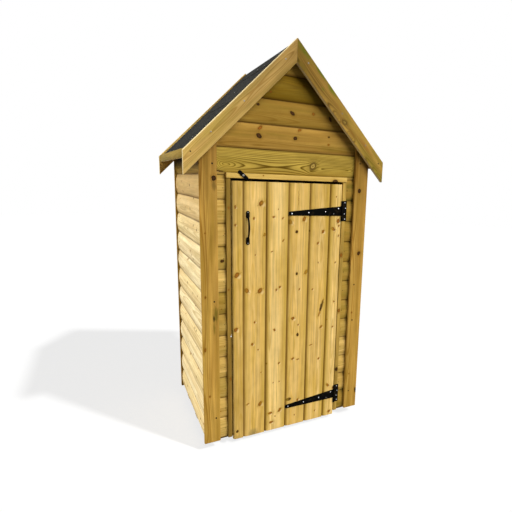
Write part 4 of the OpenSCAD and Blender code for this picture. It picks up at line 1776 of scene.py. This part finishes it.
@dataclass
class Door(Joinery):
    """The boarded door with its ledges and braces."""

    first: float = 53 * MM
    cover: float = 118 * MM
    hollow: float = 42 * MM
    hollow_dip: float = 8 * MM
    gap: float = 0.7 * MM
    ease: float = 1.2 * MM
    slack: float = 0.4 * MM
    tongue: float = 5 * MM
    steps: int = 10
    first_inset: float = 0.2 * MM
    nail: Nail = Nail(2.6 * MM)
    nail_inset: Point = (30 * MM, 20 * MM)
    honey: Colour = paint(206, 171, 102)
    straw: Colour = paint(216, 181, 110)
    cream: Colour = paint(228, 195, 124)
    dirt: Colour = paint(122, 108, 66)
    # Per board: how much stain colour near the joints, and how dark the left joint goes; both painted shade
    # in the hollows.
    tints: tuple[float, ...] = (0.25, 0.4, 0.65, 0.5, 0.5, 0.85)
    depths: tuple[float, ...] = (1.0, 0.72, 1.0, 0.9, 0.92, 1.0)
    knots: tuple[tuple[Knot, ...], ...] = (
        (Knot(65, 21, 6, 30, 1.4, KnotKind.DEAD), Knot(630, 16, 8, 35, 1.5), Knot(910, 22, 10, 40, 1.6),
         Knot(1155, 16, 4, 0, 1.8), Knot(1240, 16, 4.5, 0, 1.6)),
        (Knot(195, 93, 9, 30, 1.5), Knot(208, 24, 4, 60, 2.0), Knot(375, 97, 3), Knot(505, 80, 3.5),
         Knot(540, 48, 6, 20), Knot(657, 61, 5), Knot(827, 19, 10, -30, 1.3), Knot(821, 88, 10, 35, 1.5),
         Knot(1005, 62, 3), Knot(1105, 111, 7, 30), Knot(1185, 55, 4.5), Knot(1259, 92, 10, 35, 1.4)),
        (Knot(69, 38, 6, 80, 2.0), Knot(99, 61, 3), Knot(125, 32, 6, 80, 2.2), Knot(131, 87, 7, 35, 1.8),
         Knot(301, 47, 3), Knot(301, 81, 3), Knot(409, 79, 4.5, 35), Knot(418, 9, 4, 0, 1.2, KnotKind.DEAD),
         Knot(600, 51, 5, -30, 1.5), Knot(817, 58, 5), Knot(830, 77, 5, 30), Knot(1018, 32, 3, 60, 2.0),
         Knot(1073, 92, 3, 35, 2.6), Knot(1192, 39, 5, 70), Knot(1186, 88, 3.5, 40, 2.0),
         Knot(1230, 63, 2.5)),
        (Knot(77, 59, 3), Knot(182, 21, 9, 80, 1.6, KnotKind.DEAD), Knot(168, 78, 6, 10, 1.4),
         Knot(420, 41, 6, 70, 1.3), Knot(411, 72, 4, 80, 1.8), Knot(555, 67, 6.4, 0, 1.5, KnotKind.DEAD),
         Knot(610, 69, 4), Knot(651, 37, 8, 70, 1.2), Knot(808, 71, 4),
         Knot(894, 54, 6.8, 0, 1.1, KnotKind.DEAD), Knot(900, 108, 9, 30, 1.5), Knot(1280, 54, 1.1, 1, 36.0),
         Knot(1115, 48, 6.8, 0, 1.1, KnotKind.DEAD), Knot(1166, 11, 10, -30, 1.3),
         Knot(1181, 89, 9, 20, 1.4)),
        (Knot(73, 70, 4, 30), Knot(393, 84, 5, 45), Knot(482, 31, 3, 80, 3.0), Knot(580, 92, 6, 45, 1.6),
         Knot(702, 90, 7.8, 17, 4.6, KnotKind.PITCH), Knot(655, 76, 4.5, 17, 3.0), Knot(732, 99, 5, 30, 1.6),
         Knot(801, 30, 4, 50), Knot(1052, 55, 5, 20, 1.4), Knot(1113, 83, 7, 30, 1.3),
         Knot(1119, 5, 4, 0, 1.3, KnotKind.DEAD), Knot(947, 61, 3)),
        (Knot(45, 48, 7, 50, 1.4), Knot(192, 68, 6, 30), Knot(215, 31, 7, -40, 1.8), Knot(570, 47, 4, 60),
         Knot(616, 10, 3.5), Knot(718, 50, 4, -40), Knot(941, 48, 4, 40), Knot(888, 3, 6, 80),
         Knot(1088, 60, 4), Knot(1125, 26, 8, -55, 1.7), Knot(1168, 56, 9, 0, 1.3), Knot(1141, 61, 4),
         Knot(1295, 39, 2.5)),
    )

    def build(self) -> None:
        """Makes the boards and what holds them together."""
        self.boards()
        for number, name in enumerate(("top", "middle", "bottom")):
            self.timber(f"door_ledge_{name}", SAWN_PINE, X_AXIS, Y_AXIS, "door", seed=101 + number)
        low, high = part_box("door_braces")
        rise = Vector((-(high.x - low.x), 0, (high.z - low.z) / 2)).normalized()
        self.timber("door_braces", SAWN_PINE, rise, Y_AXIS, "door", seed=105)
        self.nails()

    def outline(self, width: float, depth: float) -> list[Point]:
        """A door board's section: rounded into the joint at its left, square at its right.

        Args:
            width: The board's cover width.
            depth: Its thickness.

        Returns:
            The section's corners as (out, across), from its back left.
        """
        near, far = self.gap, width - self.gap
        hollow = min(self.hollow, width * 0.45)
        inner, outer, root = depth * 0.2, depth * 0.38, near + self.tongue
        points = [(0, near), (inner, near), (inner, root), (outer, root), (outer, near)]
        for step in range(self.steps + 1):
            share = step / self.steps
            points.append((depth - self.hollow_dip * (1 - share) ** 4, near + hollow * share))
        points += [(depth, far - self.ease), (depth - self.ease, far)]
        inner, outer, tip = inner + self.slack, outer - self.slack, far + self.tongue - self.ease
        points += [(outer, far), (outer, tip), (inner, tip), (inner, far), (0, far)]
        return points

    def boards(self) -> None:
        """Six boards side by side, the first and last cut down."""
        low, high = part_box("door_boards")
        depth = high.y - low.y
        piece = Piece("door_sheet")
        tones = self.honey, self.straw, self.cream, self.straw, self.straw, self.cream
        splashes = {0: (Smear(12, 0, (40, 30), self.dirt, 0.5), Smear(1290, 0, (330, 90), self.dirt, 0.16)),
                    1: (Smear(30, -4, (38, 40), self.dirt, 0.75),)}
        left, number = low.x, 0
        while left < high.x - MM:
            cover = self.cover if number else self.first
            width = min(cover, high.x - left)
            jointed = left + width < high.x - MM
            board = prism(self.outline(cover, depth), high.z - low.z, 6)
            place(board, Lie(Vector((left, high.y, low.z)), Z_AXIS, -Y_AXIS, X_AXIS))
            if number == 0:
                saw(board, Vector((low.x + self.first_inset, 0, 0)), -X_AXIS)
            saw(board, Vector((left + width + (self.tongue if jointed else 0), 0, 0)), X_AXIS)
            knots = tuple(replace(knot, across=knot.across - width / 2 / MM) for knot in self.knots[number])
            finish = replace(DOOR_PINE, name=f"door_pine_{number + 1}", early=tones[number], knots=knots,
                             edge_tint=self.tints[number], smears=splashes.get(number, ()),
                             low_joint=(DOOR_PINE.low_joint[0], self.depths[number]))
            centre = Vector((left + width / 2, low.y, low.z))
            joints = (-width / 2 if number else -1, width / 2 if jointed else 1)
            seeded_grain(Z_AXIS, -Y_AXIS, centre, 111 + number, joints).mark(board)
            piece.take(board, finish)
            left += width
            number += 1
        piece.done("door", "door_pine", "door_boards")

    def nails(self) -> None:
        """Clenched nails through the boards into each ledge, seen on the back."""
        piece = Piece("door_nails")
        low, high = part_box("door_boards")
        aside, up = self.nail_inset
        for name in ("top", "middle", "bottom"):
            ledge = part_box(f"door_ledge_{name}")
            left = low.x + self.first
            while left < high.x - aside:
                for z in (ledge[0].z + up, ledge[1].z - up):
                    spot = Vector((left + aside, ledge[1].y, z))
                    piece.take(self.nail.build(spot, Y_AXIS), DULL_STEEL)
                left += self.cover
        piece.done("door", "zinc_screw")


# ---------------------------------------------------------------- hardware


@dataclass
class Hinges:
    """Two T hinges: strap on the door, plate on the jamb, bright screws in both."""

    arris: float = 0.7 * MM
    plate_thick: float = 3 * MM
    barrel: float = 4.5 * MM
    tip_half: float = 10.5 * MM
    root_half: float = 26 * MM
    root_rise: float = 12 * MM
    strap_screw: Screw = Screw(2.8 * MM, 1.0 * MM)
    plate_screw: Screw = Screw(2.2 * MM, 1.0 * MM)
    strap_screws: tuple[Point, ...] = ((0.06, -0.1), (0.366, 0.0), (0.68, 0.02), (0.84, -0.55), (0.93, 0.6))
    plate_screws: tuple[Point, ...] = ((0.5, 0.41), (0.7, 0.14), (0.5, -0.14), (0.62, -0.4))

    def build(self) -> None:
        """Makes both hinges and their screws."""
        for level in ("upper", "lower"):
            self.metal(f"hinge_strap_{level}", "door")
            self.metal(f"hinge_plate_{level}", "shed")
            self.screws(level)

    def metal(self, node: str, body: str) -> None:
        """Makes one half of a hinge, its edges eased.

        Args:
            node: The part's node that it stands for.
            body: The body that it rides on.
        """
        piece = Piece(f"{node}_iron")
        piece.take(solid(node, self.arris), Iron())
        piece.done(body, "black_iron", node)

    def screws(self, level: str) -> None:
        """Makes the screw heads in one hinge.

        Args:
            level: Which hinge, upper or lower.
        """
        low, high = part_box(f"hinge_strap_{level}")
        plate_low, plate_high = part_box(f"hinge_plate_{level}")
        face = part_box("door_boards")[0].y - self.plate_thick
        length = high.x - self.barrel - low.x
        tip_z = middle(f"hinge_strap_{level}").z - self.root_rise
        door = Piece(f"hinge_strap_{level}_screws")
        for number, (share, side) in enumerate(self.strap_screws):
            half = self.tip_half + (self.root_half - self.tip_half) * share
            centre = tip_z + self.root_rise * share
            spot = Vector((low.x + length * share, face, centre + half * side))
            metal = DUSTY_STEEL if number == 3 else BRIGHT_ZINC
            door.take(self.strap_screw.build(spot, -Y_AXIS, 0.5 * number), metal)
        door.done("door", "zinc_screw")
        jamb = Piece(f"hinge_plate_{level}_screws")
        middle_z = (plate_low.z + plate_high.z) / 2
        for number, (share, side) in enumerate(self.plate_screws):
            x = high.x + (plate_high.x - high.x) * share
            spot = Vector((x, face, middle_z + side * (plate_high.z - plate_low.z)))
            jamb.take(self.plate_screw.build(spot, -Y_AXIS, 0.8 * number), BRIGHT_ZINC)
        jamb.done("shed", "zinc_screw")


@dataclass
class PullHandle:
    """Bowed pull handle: oval pads and a grip that swells in its middle."""

    pad_length: float = 37 * MM
    pad_width: float = 18 * MM
    pad_thick: float = 4 * MM
    grip: float = 5 * MM
    steps: int = 26
    overlap: float = 4 * MM
    domes: tuple[Point, ...] = ((2.8 * MM, 0.0), (0.8 * MM, 0.7 * MM), (0.4 * MM, 1.4 * MM))
    screw: Screw = Screw(2.8 * MM, 0.8 * MM)
    screw_insets: Point = (8 * MM, 22 * MM)

    def build(self) -> None:
        """Makes the handle and its four screws."""
        low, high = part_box("door_handle")
        x, back = (low.x + high.x) / 2, high.y
        piece = Piece("pull_handle")
        for z in (low.z + self.pad_length / 2, high.z - self.pad_length / 2):
            piece.take(self.pad(Vector((x, back, z))), Iron())
        piece.take(self.bow(x, back, low, high), Iron())
        piece.done("door", "black_iron", "door_handle")
        screws = Piece("pull_handle_screws")
        for z, inward in ((low.z, 1), (high.z, -1)):
            for inset in self.screw_insets:
                spot = Vector((x, back - self.pad_thick, z + inward * inset))
                screws.take(self.screw.build(spot, -Y_AXIS, inset * 90), DUSTY_STEEL)
        screws.done("door", "zinc_screw")

    def pad(self, centre: Vector) -> BMesh:
        """Makes one round-ended pad with a softly domed face.

        Args:
            centre: The middle of its back.

        Returns:
            The pad.
        """
        bm = bmesh.new()
        bmesh.ops.create_circle(bm, cap_ends=True, radius=self.pad_width / 2, segments=32)
        stretch = (self.pad_length - self.pad_width) / 2
        for vert in bm.verts:
            vert.co.y += math.copysign(stretch, vert.co.y)
        face = bm.faces[:][0]
        for rise, inset in self.domes:
            bmesh.ops.inset_individual(bm, faces=[face], thickness=0.0)
            bmesh.ops.translate(bm, verts=face.verts, vec=(0, 0, rise))
            if inset:
                for vert in face.verts:
                    vert.co.x *= 1 - 2 * inset / self.pad_width
                    vert.co.y *= 1 - 2 * inset / self.pad_length
        return place(outward(bm), Lie(centre, X_AXIS, Z_AXIS, -Y_AXIS))

    def bow(self, x: float, back: float, low: Vector, high: Vector) -> BMesh:
        """The arched grip between the pads.

        Args:
            x: The handle's centre line.
            back: The door's face.
            low: The part's lowest corner.
            high: Its highest corner.

        Returns:
            The grip.
        """
        half = (high.z - low.z - self.pad_length) / 2 - self.overlap
        rise = back - low.y - self.grip - self.pad_thick * 0.6
        radius = (half ** 2 + rise ** 2) / (2 * rise)
        sweep = math.asin(half / radius)
        pivot = Vector((x, low.y + self.grip + radius, (low.z + high.z) / 2))
        bm = bmesh.new()
        bmesh.ops.create_circle(bm, cap_ends=False, radius=self.grip, segments=16)
        reach = Matrix.Translation((0, -radius, 0))
        start = Matrix.Translation(pivot) @ Matrix.Rotation(-sweep, 4, "X") @ reach
        bmesh.ops.transform(bm, matrix=start, verts=bm.verts)
        bmesh.ops.spin(bm, geom=bm.edges[:], cent=pivot, axis=X_AXIS, angle=2 * sweep, steps=self.steps)
        bmesh.ops.holes_fill(bm, edges=bm.edges[:], sides=0)
        for vert in bm.verts:
            share = min(abs(vert.co.z - pivot.z) / half, 1.0)
            at = math.asin(max(-1, min(1, (vert.co.z - pivot.z) / radius)))
            core = pivot + Vector((0, -radius * math.cos(at), radius * math.sin(at)))
            off = vert.co - core
            width = 1.0 - 0.12 * math.sin(share * math.pi) + 0.25 * max(share - 0.8, 0) * 5
            vert.co = core + Vector((off.x * width, off.y * (1.0 - 0.18 * share), off.z))
        return outward(bm)


@dataclass
class TurnButton:
    """The button that holds the door, on its screw in the head batten."""

    arris: float = 1.0 * MM
    screw: Screw = Screw(2.8 * MM, 0.5 * MM)
    screw_arris: float = 0.5 * MM

    def build(self) -> None:
        """Makes the button and its screw."""
        piece = Piece("turn_button_iron")
        piece.take(solid("turn_button", self.arris), Iron())
        piece.done("turn_button", "black_iron", "turn_button")
        low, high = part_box("button_screw")
        head = Piece("button_screw_head")
        head.take(solid("button_screw", self.screw_arris), DUSTY_STEEL)
        spot = Vector(((low.x + high.x) / 2, low.y + self.screw.proud, (low.z + high.z) / 2))
        head.take(self.screw.build(spot, -Y_AXIS), BRIGHT_ZINC)
        head.done("shed", "zinc_screw", "button_screw")


# ---------------------------------------------------------------- studio


@dataclass(frozen=True)
class Sun:
    """One far lamp: its name, the way back to it, its strength and its width in degrees."""

    name: str
    toward: tuple[float, float, float]
    strength: float
    width: float

    def hang(self) -> bpy.types.Object:
        """Hangs the lamp.

        Returns:
            The lamp's object.
        """
        light = bpy.data.lights.new(self.name, "SUN")
        light.energy = self.strength
        light.angle = math.radians(self.width)
        toward = Vector(self.toward).normalized()
        lamp = stand(self.name, light)
        lamp.rotation_mode = "QUATERNION"
        lamp.rotation_quaternion = toward.to_track_quat("Z", "Y")
        lamp.location = toward * LAMP_REACH
        return lamp


@dataclass
class Studio:
    """Plain pale floor, soft lights and the camera."""

    camera_at: tuple[float, float, float] = (-0.8428, -2.2668, 1.367)
    yaw: float = 0.499
    pitch: float = 0.198
    roll: float = 0.037
    lens: float = 28.79
    shift: Point = (-0.131, 0.0174)
    floor_tone: Colour = (0.25, 0.25, 0.25)
    floor_glow: float = 0.79
    floor_radius: float = 14.0
    sensor_width: float = 36
    suns: tuple[Sun, ...] = (Sun("soft_key", (0.45, -0.86, 0.55), 3.9, 50),
                             Sun("side_key", (-1.0, 0.12, 0.8), 4.1, 44),
                             Sun("back_key", (0.35, 0.93, 0.08), 1.6, 26))
    floor_sun: Sun = Sun("floor_key", (0.62, -0.785, 1.1), 3.2, 3)
    ambient: float = 0.12

    def build(self) -> None:
        """Makes the studio."""
        floor = self.floor()
        self.world()
        self.lamps(floor)
        self.camera()
        bpy.context.scene.view_settings.view_transform = "Standard"

    def floor(self) -> bpy.types.Object:
        """Makes a wide matt floor.

        Returns:
            The floor's object.
        """
        bm = bmesh.new()
        bmesh.ops.create_circle(bm, cap_ends=True, radius=self.floor_radius, segments=64)
        mesh = bpy.data.meshes.new("studio_floor")
        bm.to_mesh(mesh)
        bm.free()
        g = Graph(bpy.data.materials.new("floor_white"))
        matt = g.add("BsdfDiffuse", {"Color": self.floor_tone}).outputs[0]
        glow = g.add("Emission", {"Strength": g.math("MULTIPLY", g.seen(), self.floor_glow)}).outputs[0]
        g.add("OutputMaterial", {"Surface": g.add("AddShader", {0: matt, 1: glow}).outputs[0]})
        mesh.materials.append(g.owner)
        floor = stand("studio_floor", mesh)
        return floor

    def world(self) -> None:
        """Even white light, and pure white where the camera, glass or metal sees it."""
        g = Graph(bpy.data.worlds.new("studio_white"))
        bpy.context.scene.world = g.owner
        level = g.fade(g.seen(), 0.0, 1.0, self.ambient, 1.0)
        background = g.add("Background", {"Color": WHITE, "Strength": level}).outputs[0]
        g.add("OutputWorld", {"Surface": background})

    def lamps(self, floor: bpy.types.Object) -> None:
        """Hangs the broad suns for the shed, and a narrow one that only draws its shadow on the floor.

        Args:
            floor: The studio's floor.
        """
        lit = bpy.data.collections.new("lit_floor")
        lit.objects.link(floor)
        spared = bpy.data.collections.new("spared_floor")
        spared.objects.link(floor)
        spared.collection_objects[0].light_linking.link_state = "EXCLUDE"
        for sun in self.suns:
            sun.hang().light_linking.receiver_collection = spared
        self.floor_sun.hang().light_linking.receiver_collection = lit

    def camera(self) -> None:
        """The camera at the height of the door's top, front left."""
        data = bpy.data.cameras.new("camera")
        data.lens = self.lens
        data.sensor_width = self.sensor_width
        data.shift_x, data.shift_y = self.shift
        camera = stand("camera", data)
        level = math.cos(self.pitch)
        look = Vector((math.sin(self.yaw) * level, math.cos(self.yaw) * level, -math.sin(self.pitch)))
        right = Vector((math.cos(self.yaw), -math.sin(self.yaw), 0))
        up = right.cross(look)
        tilted_right = math.cos(self.roll) * right + math.sin(self.roll) * up
        tilted_up = math.cos(self.roll) * up - math.sin(self.roll) * right
        turn = Matrix((tilted_right, tilted_up, -look)).transposed()
        camera.matrix_world = Matrix.Translation(Vector(self.camera_at)) @ turn.to_4x4()
        bpy.context.scene.camera = camera


def main() -> None:
    """Builds the studio and every sub-assembly in order."""
    logging.basicConfig(level=logging.INFO, format="%(message)s")
    assemblies = (Studio(), Cladding(), CornerTrims(), Carcass(), Doorway(), Roof(), Door(), Hinges(),
                  PullHandle(), TurnButton())
    for assembly in assemblies:
        log.info("building %s", type(assembly).__name__)
        assembly.build()


if __name__ == "__main__":
    main()
